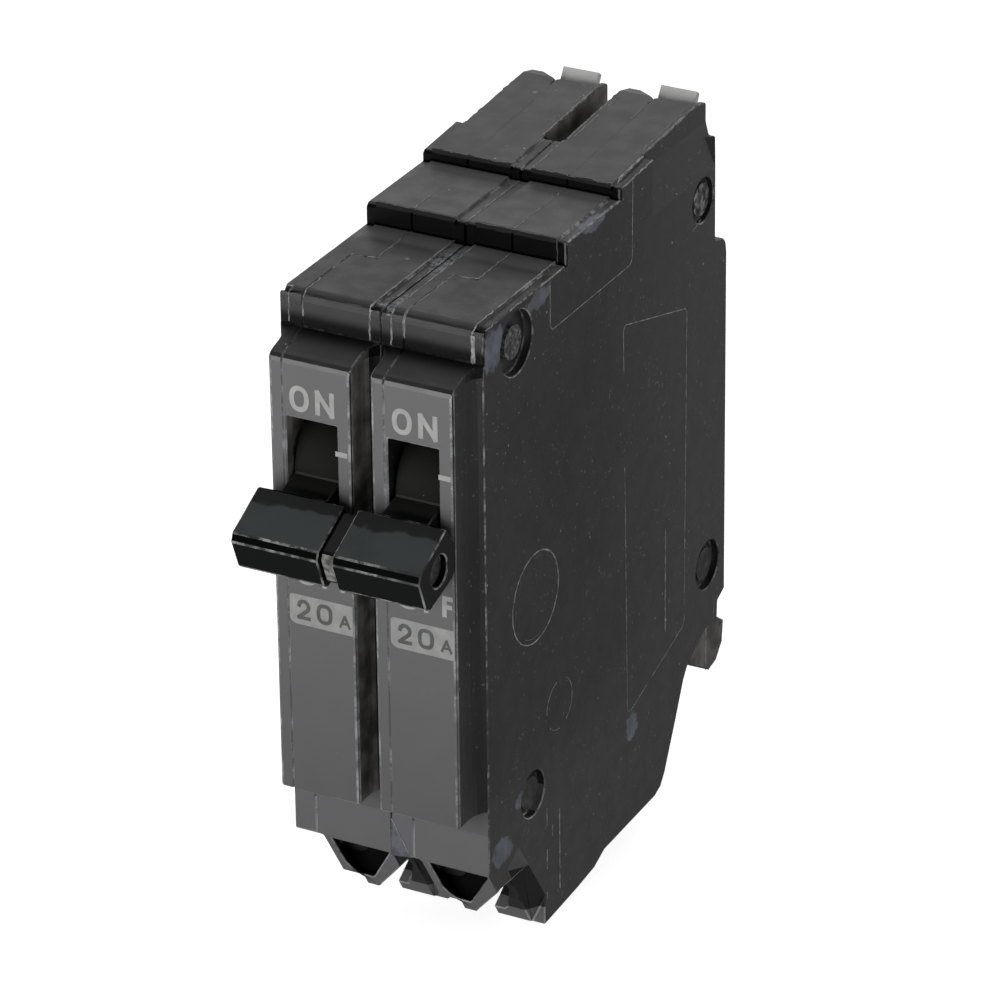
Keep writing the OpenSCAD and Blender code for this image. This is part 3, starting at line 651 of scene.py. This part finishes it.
# polished black, painted with a greenish sheen on the upper faces and the stem's dark reflection over their rear;
# the drum behind the label face is dull
def makeHandleLook():
    made, tree = newMaterial("handleBlack")
    y = drawnPlace(tree)[1]
    facingZ = facingWay(tree)[2]
    uneven = plus(tree, times(tree, useEffect(tree, "smudge", Across=6.0), 0.35), 0.75)
    wavy = times(tree, minus(tree, clouds(tree, 0.32, 2.0), 0.5), 2.4)
    # painted reflection of the stem: the rear of the top faces stays black
    stemReflection = above(tree, plus(tree, y, wavy), handleLook["stemFrom"], handleLook["stemFrom"] + 0.5)
    inside = above(tree, y, -1.6, -0.4)
    # the sloped lip at the front end is kept black and without shine, which hides its reflection
    lip = times(tree, between(tree, facingZ, 0.2, 0.5), under(tree, y, handleLook["lipFrom"]))
    color = layered(tree, handleLook["black"], (
        # painted sheen on the upper faces, greenish grey
        (times(tree, above(tree, facingZ, 0.35, 0.75), uneven), handleLook["paintedSheen"]),
        (stemReflection, handleLook["black"]),
        (inside, handleLook["drum"]),
        (useEffect(tree, "specks", Every=2.2, Size=0.1, Share=0.3), grey(0.2)),
        (lip, handleLook["black"]),
    ))
    smooth, dull = handleLook["roughness"]
    rough = put(tree, "ShaderNodeMapRange", {"Value": inside, "To Min": smooth, "To Max": dull}).outputs[0]
    return finished(made, tree, {
        "Base Color": color, "Roughness": rough,
        "Specular IOR Level": times(tree, minus(tree, 1.0, lip), handleLook["shine"]),
        "Normal": useEffect(tree, "grain", PerMm=1.2, Depth=0.06),
    })


# smoky horn, painted by facing: black as seen from above, mottled grey on faces that look forward; this split is
# painted light and shade
def makeSpacerLook():
    made, tree = newMaterial("spacerHorn")
    # faces that look forward get the painted light
    ahead = above(tree, minus(tree, 0.0, facingWay(tree)[1]), 0.75, 0.95)
    pale = blendColor(tree, useEffect(tree, "smudge", Across=1.0), (0.05, 0.05, 0.048, 1), (0.34, 0.34, 0.33, 1))
    return finished(made, tree, {
        "Base Color": blendColor(tree, ahead, grey(0.004), pale), "Roughness": 0.35, "Specular IOR Level": 0.2,
        "Normal": useEffect(tree, "grain", PerMm=1.2, Depth=0.4),
    })


# the head in the upper rear recess is bright, with patchy pale metal that is partly painted highlight; the others
# are dull and dirty
def makeRivetLook():
    made, tree = newMaterial("rivetSteel")
    bright = useEffect(tree, "rub", Centre=(12.0, 59.0, 75.5), Reach=(3.0, 4.0, 4.0))
    patchy = math2(tree, "POWER", useEffect(tree, "smudge", Across=1.3), 1.6)
    scraped = math2(tree, "POWER", useEffect(tree, "smudge", Across=0.55), 2.0)
    scraped = times(tree, scraped, over(tree, drawnPlace(tree)[2], 65.0))
    dirt = blendColor(tree, patchy, (0.014, 0.014, 0.014, 1), (0.06, 0.06, 0.06, 1))
    # pale patches of metal on dark steel: painted highlights
    shine = blendColor(tree, patchy, (0.03, 0.03, 0.028, 1), (0.72, 0.72, 0.71, 1))
    return finished(made, tree, {
        "Base Color": layered(tree, dirt, ((scraped, grey(0.2)), (bright, shine))), "Metallic": bright,
        "Roughness": 0.42, "Normal": useEffect(tree, "grain", PerMm=1.6, Depth=0.8),
    })


look = {
    "phenolic": makePhenolic(),
    "phenolicWorn": makeWorn("phenolic"),
    "handle": makeHandleLook(),
    "handleWorn": makeWorn("handle"),
    "spacer": makeSpacerLook(),
    "rivet": makeRivetLook(),
    "flash": makeFlash(),
    "soft": makeSimple("softLine", (0.07, 0.07, 0.073), (0.15, 0.15, 0.16), 0.6),
    # chipped step edges: the ragged shape is the chips, the near-black colour is painted shade
    "chipShade": makeSimple("shadedChippedEdge", (0.004, 0.004, 0.004), (0.009, 0.009, 0.009), 0.8, grain=0.5, perMm=1.4),
    "tin": makeSimple("tinnedSheet", (0.60, 0.60, 0.58), (0.72, 0.72, 0.69), 0.5, 0.2, across=3.0),
    "contact": makeSimple("silverContact", (0.7, 0.69, 0.66), (0.55, 0.54, 0.5), 0.3, 1.0),
    "copper": makeSimple("copperArm", (0.72, 0.34, 0.2), (0.5, 0.23, 0.13), 0.38, 1.0, across=3.0),
    "braid": makeSimple("copperBraid", (0.62, 0.29, 0.17), (0.35, 0.15, 0.08), 0.5, 1.0, 0.9, 4.0, 0.6),
    "steel": makeSimple("plainSteel", (0.4, 0.4, 0.41), (0.28, 0.28, 0.29), 0.4, 1.0, across=3.0),
    "spring": makeSimple("springSteel", (0.5, 0.5, 0.5), (0.34, 0.33, 0.31), 0.3, 1.0),
    "bimetal": makeSimple("bimetalStrip", (0.5, 0.45, 0.36), (0.38, 0.35, 0.31), 0.42, 1.0, across=6.0),
    "brass": makeSimple("brassStrap", (0.65, 0.47, 0.2), (0.48, 0.34, 0.15), 0.4, 1.0),
    "dullSteel": makeSimple("dullSteel", (0.07, 0.07, 0.07), (0.04, 0.04, 0.04), 0.5, 1.0, across=2.0),
    "fibre": makeSimple("greyFibre", (0.32, 0.27, 0.2), (0.25, 0.21, 0.16), 0.8, grain=0.5),
    "pin": makeSimple("pinSteel", (0.16, 0.16, 0.16), (0.02, 0.02, 0.02), 0.3, 1.0, across=0.9),
    "bar": makeSimple("tripBarIvory", (0.62, 0.58, 0.45), (0.55, 0.5, 0.38), 0.5),
    "hookRub": makeSimple("hookRub", (0.06, 0.058, 0.054), (0.17, 0.165, 0.15), 0.55, grain=0.4, across=2.0,
                          specks=0.3),
    "rubbed": makeSimple("rubbedPhenolic", (0.085, 0.09, 0.105), (0.18, 0.19, 0.22), 0.55, grain=0.4, across=1.2),
    "letter": makeSimple("labelPrint", (0.36, 0.36, 0.355), (0.43, 0.43, 0.42), 0.6, across=1.5),
    "badge": makeSimple("badgePrint", (0.30, 0.305, 0.30), (0.37, 0.37, 0.36), 0.6, across=1.5),
    "digit": makeSimple("badgeDigits", (0.085, 0.088, 0.09), (0.12, 0.12, 0.12), 0.6, across=1.0),
}
print("materials ready")

# The CAD pieces
finish = {
    "base_shell": "phenolic", "cover_shell": "phenolic", "handle": "handle", "line_jaw": "tin",
    "fixed_contact": "contact", "moving_contact": "contact", "contact_arm": "copper", "trip_lever": "steel",
    "toggle_spring": "spring", "bimetal": "bimetal", "magnet_yoke": "steel", "armature": "steel",
    "calibration_screw": "brass", "braid": "braid", "load_strap": "brass", "clamp_plate": "dullSteel",
    "terminal_screw": "dullSteel", "arc_plates": "steel", "arc_frame": "fibre", "tie_pin": "pin",
    "tie_spacer": "spacer", "trip_bar": "bar", "rivets": "rivet",
}
cleaning = {"weldWithin": 0.002, "flatWithin": 0.6}  # millimetres and degrees
edges = {
    "base_shell": {"width": 0.14, "angle": 45, "worn": "phenolicWorn"},
    "cover_shell": {"width": 0.14, "angle": 45, "worn": "phenolicWorn"},
    "handle": {"width": 0.16, "angle": 18, "worn": "handleWorn"},
    "tie_spacer": {"width": 0.2, "angle": 25, "worn": None},
    "line_jaw": {"width": 0.08, "angle": 25, "worn": None},
}


def kindOf(name):
    for side in sides:
        if name.endswith("_" + side):
            return name[:-len(side) - 1]
    return name


def finishNodes():
    for name, obj in nodes.items():
        kind = kindOf(name)
        obj.data.materials.clear()
        obj.data.materials.append(look[finish[kind]])
        edge = edges.get(kind)
        if not edge:
            continue
        weld = obj.modifiers.new("weld", "WELD")
        weld.merge_threshold = cleaning["weldWithin"] * mm
        flat = obj.modifiers.new("flat", "DECIMATE")
        flat.decimate_type = "DISSOLVE"
        flat.angle_limit = math.radians(cleaning["flatWithin"])
        bevel = obj.modifiers.new("edges", "BEVEL")
        bevel.width = edge["width"] * mm
        bevel.segments = 1
        bevel.limit_method = "ANGLE"
        bevel.angle_limit = math.radians(edge["angle"])
        bevel.use_clamp_overlap = False
        bevel.miter_outer = "MITER_SHARP"
        if edge["worn"]:
            obj.data.materials.append(look[edge["worn"]])
            bevel.material = 1


finishNodes()
print("finishes on the CAD pieces")

# Thin moulding lines


def newPiece(name, verts, faces, material, body="root"):
    mesh = bpy.data.meshes.new(name)
    mesh.from_pydata(verts, [], faces)
    mesh.update()
    mesh.materials.append(material)
    obj = bpy.data.objects.new(name, mesh)
    scene.collection.objects.link(obj)
    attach(obj, body)


# even points along a broken line, each with its travelled length
def alongLine(points, step):
    out, travelled = [], 0.0
    for a, b in zip(points, points[1:]):
        length = (b - a).length
        count = max(1, int(length / step))
        for i in range(count):
            out.append((a.lerp(b, i / count), travelled + length * i / count))
        travelled += length
    out.append((points[-1], travelled))
    return out


# low ragged ribbons of flash; each line is (points, width, height, share kept), and they stand up along facing
def ridgeLines(name, lines, facing, material, seed, step=0.3, wander=0.05):
    lift = 0.02
    verts, faces = [], []
    for index, (points, width, height, share) in enumerate(lines):
        drawn = [Vector(p) for p in points]
        samples = alongLine(drawn, step)
        previous = None
        for i, (p, far) in enumerate(samples):
            ahead = samples[min(i + 1, len(samples) - 1)][0] - samples[max(i - 1, 0)][0]
            if ahead.length < 1e-6:
                continue
            up = facing(p) if callable(facing) else Vector(facing)
            across = ahead.normalized().cross(up).normalized()
            key = Vector((far * 0.9, seed * 7.3 + index * 3.1, 0))
            swell = 0.55 + 0.9 * (0.5 + 0.5 * noise(key * 1.7))
            there = 0.5 + 0.5 * noise(Vector((far * 0.35, seed * 3.7 + index * 5.3, 4.0)))
            if there > share:
                previous = None
                continue
            middle = p + across * wander * 2 * noise(Vector((far * 1.3, seed, index))) + up * lift
            half = width * 0.5 * swell
            tall = height * (0.4 + 0.8 * (0.5 + 0.5 * noise(key * 2.9)))
            start = len(verts)
            foot = middle - up * lift * 1.5
            verts += [spot(*q) for q in (foot - across * half, middle + up * tall, foot + across * half)]
            if previous is not None:
                faces.append((previous, previous + 1, start + 1, start))
                faces.append((previous + 1, previous + 2, start + 2, start + 1))
            previous = start
    newPiece(name, verts, faces, material)


# points on the stepped top from (local x, y) pairs; short walls are climbed at the steps
def onTop(side, path):
    out = []
    for (x0, y0), (x1, y1) in zip(path, path[1:]):
        count = max(1, int(abs(y1 - y0) / 0.8))
        for i in range(count):
            t = i / count
            x, y = x0 + (x1 - x0) * t, y0 + (y1 - y0) * t
            out.append((poleStart[side] + x, y, topHeight(x, y)))
    x, y = path[-1]
    out.append((poleStart[side] + x, y, topHeight(x, y)))
    return out


roundFrom = tierTop["first"] - frontRound  # height at which the block's front edge starts to round


# a line up the block's front at local x, over the rounded corner and back to y = back
def blockLine(side, x, low, back):
    front = [(poleStart[side] + x, blockFront - 0.01, z) for z in (low, roundFrom - 0.1)]
    return front + onTop(side, [(x, blockFront + 0.15), (x, blockFront + 0.6), (x, blockFront + 1.3), (x, back)])


# up on the top, forward on the block's front, between them at the rounded corner
def outward(p):
    if p.z < roundFrom - 0.2 and p.y < blockFront + 0.5:
        return Vector((0, -1, 0))
    if p.y < blockFront + frontRound:
        turn = Vector((0, p.y - blockFront - frontRound, p.z - roundFrom))
        return turn.normalized() if turn.length > 0.2 else Vector((0, 0, 1))
    return Vector((0, 0, 1))


# width, height and share kept come last; a block line has its local x, lowest z and last y before them,
# and a top line its (local x, y) points
topLines = {
    "left": {
        "seed": 3.0,
        "block": [
            (11.36, 77.2, 24.4, 0.22, 0.07, 0.9),
            (1.2, 77.6, 24.4, 0.15, 0.05, 0.6),
            (3.0, 78.6, 9.0, 0.17, 0.05, 0.95),
        ],
        "top": [
            ([(4.9, 16.2), (5.9, 16.6), (5.9, 24.4)], 0.13, 0.03, 0.8),
            ([(12.62, 24.9), (12.62, 37.6)], 0.20, 0.06, 0.78),
            ([(5.9, 25.0), (5.9, 31.0)], 0.14, 0.04, 0.62),
            ([(11.5, 38.4), (11.5, 45.8)], 0.3, 0.08, 0.66),
            ([(11.22, 46.2), (11.22, 59.6)], 0.18, 0.06, 0.9),
            ([(10.7, 48.2), (10.7, 59.6)], 0.12, 0.04, 0.7),
            ([(5.9, 48.0), (5.9, 55.0)], 0.09, 0.02, 0.4),
            ([(1.5, 46.4), (1.5, 59.6)], 0.12, 0.04, 0.62),
        ],
    },
    "right": {
        "seed": 9.0,
        "block": [
            (11.36, 77.2, 24.4, 0.2, 0.07, 0.8),
            (1.36, 77.2, 24.4, 0.2, 0.07, 0.92),
            (3.0, 78.6, 15.9, 0.17, 0.05, 0.8),
        ],
        "top": [
            ([(4.9, 16.2), (5.9, 16.6), (5.9, 24.4)], 0.14, 0.03, 0.9),
            ([(5.9, 25.0), (5.9, 37.7)], 0.15, 0.04, 0.85),
            ([(11.5, 38.4), (11.45, 45.8)], 0.3, 0.09, 0.8),
            ([(11.22, 46.2), (11.22, 59.6)], 0.19, 0.06, 0.95),
            ([(10.7, 47.0), (10.7, 59.6)], 0.12, 0.04, 0.7),
            ([(1.5, 46.4), (1.5, 59.6)], 0.2, 0.07, 0.85),
            ([(2.0, 47.2), (2.0, 59.2)], 0.12, 0.04, 0.65),
            ([(5.9, 53.6), (5.9, 58.0)], 0.12, 0.03, 0.6),
            ([(1.3, 38.4), (1.3, 45.8)], 0.2, 0.07, 0.6),
        ],
    },
}
edgeLines = {
    "outerTier": ([(12.6, y, topHeight(12.6, y)) for y in (5.6, 12, 18, 24.3)], 0.16, 0.05, 0.5),
    "outerTierTwo": ([(12.58, y, topHeight(12.6, y) + 0.02) for y in (24.9, 30, 34, 37.7)], 0.34, 0.1, 0.88),
    "outerTierThree": ([(12.6, y, topHeight(12.6, y)) for y in (38.3, 42, 45.9)], 0.22, 0.07, 0.8),
    "blockCorner": ([(11.44, 4.86, z) for z in (77.2, 78.4, 79.6, 80.6)], 0.55, 0.12, 1.0),
}
riserEnds = {
    "firstInner": ([(11.55, 24.55, 81.3), (11.5, 24.55, 84.0)], 0.12, 0.04, 0.75),
    "firstOuter": ([(12.55, 24.55, 81.2), (12.5, 24.55, 83.9)], 0.24, 0.05, 1.0),
    "secondOuter": ([(12.5, 37.85, 83.9), (12.45, 37.85, 85.1)], 0.26, 0.05, 1.0),
}


def makeTopLines():
    for side in sides:
        spec = topLines[side]
        lines = [(blockLine(side, x, low, last), *size) for x, low, last, *size in spec["block"]]
        lines += [(onTop(side, path), *size) for path, *size in spec["top"]]
        ridgeLines("top_flash_" + side, lines, outward, look["flash"], spec["seed"], wander=0.09)
    ridgeLines("riser_end_flash", list(riserEnds.values()), (0, -1, 0), look["soft"], 17.0, step=0.2, wander=0.03)
    ridgeLines("edge_flash", list(edgeLines.values()), outward, look["flash"], 14.0, step=0.22, wander=0.09)


makeTopLines()

# flat strips that close the parting line and the seam where they hardly show: local x, from y, to y
seams = {
    "partingSecond": (5.9, 25.0, 37.5),
    "partingThird": (5.9, 38.4, 58.0),
    "polesSecond": (0.0, 25.0, 37.5),
}
seamWidth = 0.34
seamParts = 12


def makeSeams():
    for side in sides:
        verts, faces = [], []
        for name, (x, yLow, yHigh) in seams.items():
            if name == "polesSecond" and side == "left":
                continue
            for i in range(seamParts + 1):
                y = yLow + (yHigh - yLow) * i / seamParts
                z = topHeight(x, y) + 0.012
                verts += [spot(poleStart[side] + x + half, y, z) for half in (-seamWidth / 2, seamWidth / 2)]
                if i:
                    n = len(verts)
                    faces.append((n - 4, n - 3, n - 1, n - 2))
        newPiece("seam_fill_" + side, verts, faces, look["phenolic"])


makeSeams()

# lines on the right pole's side, as (y, z) points: width, height, share kept
circleAt = {"ring": (16.6, 43.5, 5.55), "ringInner": (16.6, 43.5, 4.95), "spot": (22.2, 27.2, 3.15)}


def circlePoints(name):
    y, z, r = circleAt[name]
    return [(y + r * math.cos(math.radians(a)), z + r * math.sin(math.radians(a))) for a in range(0, 361, 10)]


sideMarks = {
    "panel": ([(20.65, 81.05), (20.6, 75.4), (21.2, 74.8), (40.2, 74.9), (40.75, 75.6), (40.9, 85.3)],
              0.13, 0.03, 0.93),
    "nameplate": ([(38.6, 62), (38.5, 67.4), (39.0, 67.9), (54.4, 63.6), (54.8, 63.0), (54.3, 22.9), (53.9, 22.2),
                   (40.0, 17.4), (39.4, 18.0), (38.8, 50)], 0.13, 0.02, 0.8),
    "rearRib": ([(49.3, 37.4), (49.3, 23.7)], 0.22, 0.05, 0.95),
    "footRib": ([(22.0, 13.6), (22.0, 3.0)], 0.28, 0.1, 1.0),
    "footDashes": ([(18.9, 15.2), (18.9, 3.2)], 0.22, 0.05, 0.5),
    "footDashesTwo": ([(20.2, 13.0), (20.2, 3.0)], 0.2, 0.05, 0.36),
    "ring": (circlePoints("ring"), 0.19, 0.04, 0.92),
    "spot": (circlePoints("spot"), 0.12, 0.02, 0.55),
    "frontLine": ([(5.0, 77), (5.0, 14)], 0.08, 0.02, 0.33),
    "tailScratch": ([(56.1, 72.6), (58.4, 73.3)], 0.12, 0.02, 0.9),
}
softMarks = {
    "ringInner": (circlePoints("ringInner"), 0.1, 0.02, 0.5),
}


def makeSideLines():
    for name, marks, material, seed in (
        ("side_lines", sideMarks, look["flash"], 21.0),
        ("side_soft_lines", softMarks, look["soft"], 27.0),
    ):
        lines = [([(sideFace, y, z) for y, z in points], *size) for points, *size in marks.values()]
        ridgeLines(name, lines, (1, 0, 0), material, seed, wander=0.02)


makeSideLines()

# rubbed corner of the right pole's foot beside the seam
seamCorner = {"corners": ((0.02, 17.7), (0.02, 12.9), (2.55, 13.25)), "ahead": 0.05}


def makeSeamCorner():
    y = blockFront - seamCorner["ahead"]
    corners = [(x, y, z) for x, z in seamCorner["corners"]]
    newPiece("seam_corner_rub", [spot(*c) for c in corners], [(0, 1, 2)], look["rubbed"])
    ridgeLines("seam_corner_line", [([corners[0], corners[2]], 0.16, 0.03, 1.0)], (0, -1, 0), look["flash"], 41.0)


makeSeamCorner()

# outer flank of the rail hook, as (y, z) points, between two local x
hookFlank = {
    "outline": ((57.6, 23.2), (55.4, 16.6), (56.2, 15.8), (61.1, 12.9), (63.0, 13.35), (64.6, 15.2), (65.0, 17.9),
                (63.1, 19.2), (63.4, 21.9), (64.4, 23.2)),
    "inner": 9.7,
    "outer": 12.62,
    "face": ((55.7, 16.5), (56.4, 15.9), (61.1, 13.1), (62.9, 13.5), (64.4, 15.3), (64.8, 17.8), (62.9, 19.0),
             (60.4, 19.1), (58.2, 18.2)),
    "lines": [
        ([(60.3, 19.0), (60.3, 13.3)], 0.22, 0.05, 1.0),
        ([(63.1, 19.2), (64.9, 17.9), (64.6, 15.2), (63.0, 13.4), (61.1, 13.0)], 0.16, 0.04, 0.85),
        ([(63.35, 22.2), (63.15, 19.2)], 0.16, 0.04, 0.9),
        ([(62.4, 22.4), (62.3, 19.3)], 0.14, 0.03, 0.8),
    ],
}


def makeHookFlanks():
    for side in sides:
        count = len(hookFlank["outline"])
        verts = [spot(poleStart[side] + hookFlank[end], y, z)
                 for end in ("inner", "outer") for y, z in hookFlank["outline"]]
        faces = [tuple(reversed(range(count))), tuple(range(count, 2 * count))]
        faces += [(i, (i + 1) % count, count + (i + 1) % count, count + i) for i in range(count)]
        newPiece("rail_hook_flank_" + side, verts, faces, look["phenolic"])
    outer = poleStart["right"] + hookFlank["outer"] + 0.01
    rubbed = [spot(outer, y, z) for y, z in hookFlank["face"]]
    newPiece("rail_hook_rub", rubbed, [tuple(range(len(rubbed)))], look["hookRub"])
    lines = [([(outer, y, z) for y, z in points], *size) for points, *size in hookFlank["lines"]]
    ridgeLines("rail_hook_lines", lines, (1, 0, 0), look["flash"], 47.0, wander=0.03)


makeHookFlanks()

# chipped upper edges of the two steps, painted near black as shade
chips = {
    "first": {"y": stepAt["first"], "z": tierTop["second"], "deep": 0.22, "seed": 4},
    "second": {"y": stepAt["second"], "z": tierTop["third"], "deep": 0.6, "seed": 8},
}


# a ragged lip along a step's upper edge, near black as painted shade, with a pale line behind it
def shadedChippedEdge(side, name, spec):
    verts, faces, rim = [], [], []
    count = 90
    x0, x1 = shoulder["width"] + 0.05, polePitch - shoulder["width"] - 0.05
    for i in range(count + 1):
        x = x0 + (x1 - x0) * i / count
        wave = noise(Vector((x * 0.55 + poleStart[side], spec["seed"], 0)))
        bite = noise(Vector((x * 2.2 + poleStart[side], spec["seed"] + 5, 0)))
        deep = max(0.03, spec["deep"] * (0.45 + 0.9 * wave + 0.5 * bite))
        place = poleStart[side] + x
        high = spec["z"] + 0.012
        verts += [spot(place, spec["y"] - 0.03, high - 0.35), spot(place, spec["y"] - 0.02, high),
                  spot(place, spec["y"] + deep, high + 0.03)]
        rim.append((place, spec["y"] + deep + 0.06, high - 0.01))
    for i in range(count):
        a, b = 3 * i, 3 * (i + 1)
        faces += [(a, b, b + 1, a + 1), (a + 1, b + 1, b + 2, a + 2)]
    newPiece(f"{name}_step_chips_{side}", verts, faces, look["chipShade"])
    return rim


def makeChips():
    for side in sides:
        rims = [(shadedChippedEdge(side, name, spec), 0.1, 0.04, 0.75) for name, spec in chips.items()]
        ridgeLines("step_flash_" + side, rims, (0, 0, 1), look["flash"], 31.0, step=0.2, wander=0.0)


makeChips()
print("moulding lines ready")

# Printing on the label faces.
# Strokes of each sign in a box one wide and one high; "ring" stands for a closed oval.
signs = {
    "O": ["ring"],
    "0": ["ring"],
    "N": [[(0, 0), (0, 1)], [(0, 1), (1, 0)], [(1, 0), (1, 1)]],
    "F": [[(0, 0), (0, 1)], [(0, 1), (1, 1)], [(0, 0.52), (0.88, 0.52)]],
    "2": [[(0.03, 0.72), (0.12, 0.9), (0.34, 1.0), (0.62, 1.0), (0.86, 0.9), (0.97, 0.72), (0.9, 0.52), (0.0, 0.0)],
          [(0, 0), (1, 0)]],
    "A": [[(0, 0), (0.5, 1)], [(0.5, 1), (1, 0)], [(0.2, 0.33), (0.8, 0.33)]],
}
# words as signs with their left and right ends at local x, then the low and high ends and the stroke
words = {
    "on": {"signs": [("O", 3.95, 6.42), ("N", 7.2, 9.6)], "low": 69.45, "high": 72.6, "stroke": 0.6},
    "off": {"signs": [("O", 4.1, 6.9), ("F", 7.5, 8.9), ("F", 9.8, 11.2)], "low": 48.15, "high": 50.85,
            "stroke": 0.56},
    "rating": {"signs": [("2", 4.15, 5.95), ("0", 6.68, 8.7)], "low": 43.65, "high": 46.17, "stroke": 0.46},
    "unit": {"signs": [("A", 9.55, 11.0)], "low": 43.75, "high": 45.4, "stroke": 0.3},
}
printShift = {"left": -0.14, "right": 0.0}
badge = {"low": 42.98, "high": 46.72, "left": 3.25, "right": 11.3, "corner": 0.5, "cut": 1.0}
dash = {"left": 9.6, "right": 11.1, "low": 65.0, "high": 65.62}
printLift = 0.03


# quads that give a flat line its width, with joined corners
def strokeOutline(points, width, closed=False):
    count = len(points)
    verts, faces = [], []
    for i, p in enumerate(points):
        before = points[i - 1] if i or closed else p
        after = points[(i + 1) % count] if i < count - 1 or closed else p
        ways = [(Vector(b) - Vector(a)).normalized() for a, b in ((before, p), (p, after)) if Vector(a) != Vector(b)]
        middle = sum(ways, Vector((0, 0))).normalized()
        across = Vector((-middle.y, middle.x))
        spread = 0.5 * width / max(0.6, abs(ways[0].dot(middle)))
        verts += [Vector(p) - across * spread, Vector(p) + across * spread]
    for i in range(count if closed else count - 1):
        a, b = 2 * i, 2 * ((i + 1) % count)
        faces.append((a, b, b + 1, a + 1))
    return verts, faces


def makeWord(name, side, spec, material, lift):
    verts, faces = [], []
    half = spec["stroke"] / 2
    low, high = spec["low"] + half, spec["high"] - half
    for sign, x0, x1 in spec["signs"]:
        left, right = x0 + half, x1 - half
        for order, stroke in enumerate(signs[sign]):
            closed = stroke == "ring"
            if closed:
                power = 0.86 if sign == "O" else 0.72
                turns = [math.radians(7.5 * i) for i in range(48)]
                stroke = [(0.5 + 0.5 * math.copysign(abs(math.cos(t)) ** power, math.cos(t)),
                           0.5 + 0.5 * math.copysign(abs(math.sin(t)) ** power, math.sin(t))) for t in turns]
            points = [(left + (right - left) * u, low + (high - low) * v) for u, v in stroke]
            if not closed:
                points = lengthened(points, half * 0.8)
            drawn, quads = strokeOutline(points, spec["stroke"], closed)
            start = len(verts)
            verts += [spot(poleStart[side] + printShift[side] + q.x, -lift - 0.002 * order, q.y) for q in drawn]
            faces += [tuple(start + k for k in quad) for quad in quads]
    newPiece(name, verts, faces, material)


def lengthened(points, extra):
    first, last = Vector(points[0]), Vector(points[-1])
    out = list(points)
    out[0] = tuple(first + (first - Vector(points[1])).normalized() * extra)
    out[-1] = tuple(last + (last - Vector(points[-2])).normalized() * extra)
    return out


def flatShape(name, side, outline, material, lift):
    verts = [spot(poleStart[side] + printShift[side] + x, -lift, z) for x, z in outline]
    newPiece(name, verts, [tuple(range(len(verts)))], material)


def badgeOutline():
    b = badge
    points = [(b["right"], b["low"]), (b["right"], b["high"])]
    for a in range(90, 181, 15):
        points.append((b["left"] + b["corner"] * (1 + math.cos(math.radians(a))),
                       b["high"] - b["corner"] * (1 - math.sin(math.radians(a)))))
    for a in range(180, 271, 15):
        points.append((b["left"] + b["cut"] * (1 + math.cos(math.radians(a))),
                       b["low"] + 0.75 * b["cut"] * (1 + math.sin(math.radians(a)))))
    return list(reversed(points))


def makeLabels():
    for side in sides:
        for name, spec in words.items():
            onBadge = name in ("rating", "unit")
            tone, lift = (look["digit"], 2 * printLift) if onBadge else (look["letter"], printLift)
            makeWord(f"print_{name}_{side}", side, spec, tone, lift)
        flatShape("print_badge_" + side, side, badgeOutline(), look["badge"], printLift)
        corners = [(dash[x], dash[z]) for x, z in
                   (("left", "low"), ("right", "low"), ("right", "high"), ("left", "high"))]
        flatShape("print_dash_" + side, side, corners, look["letter"], printLift)


makeLabels()
print("printing ready")
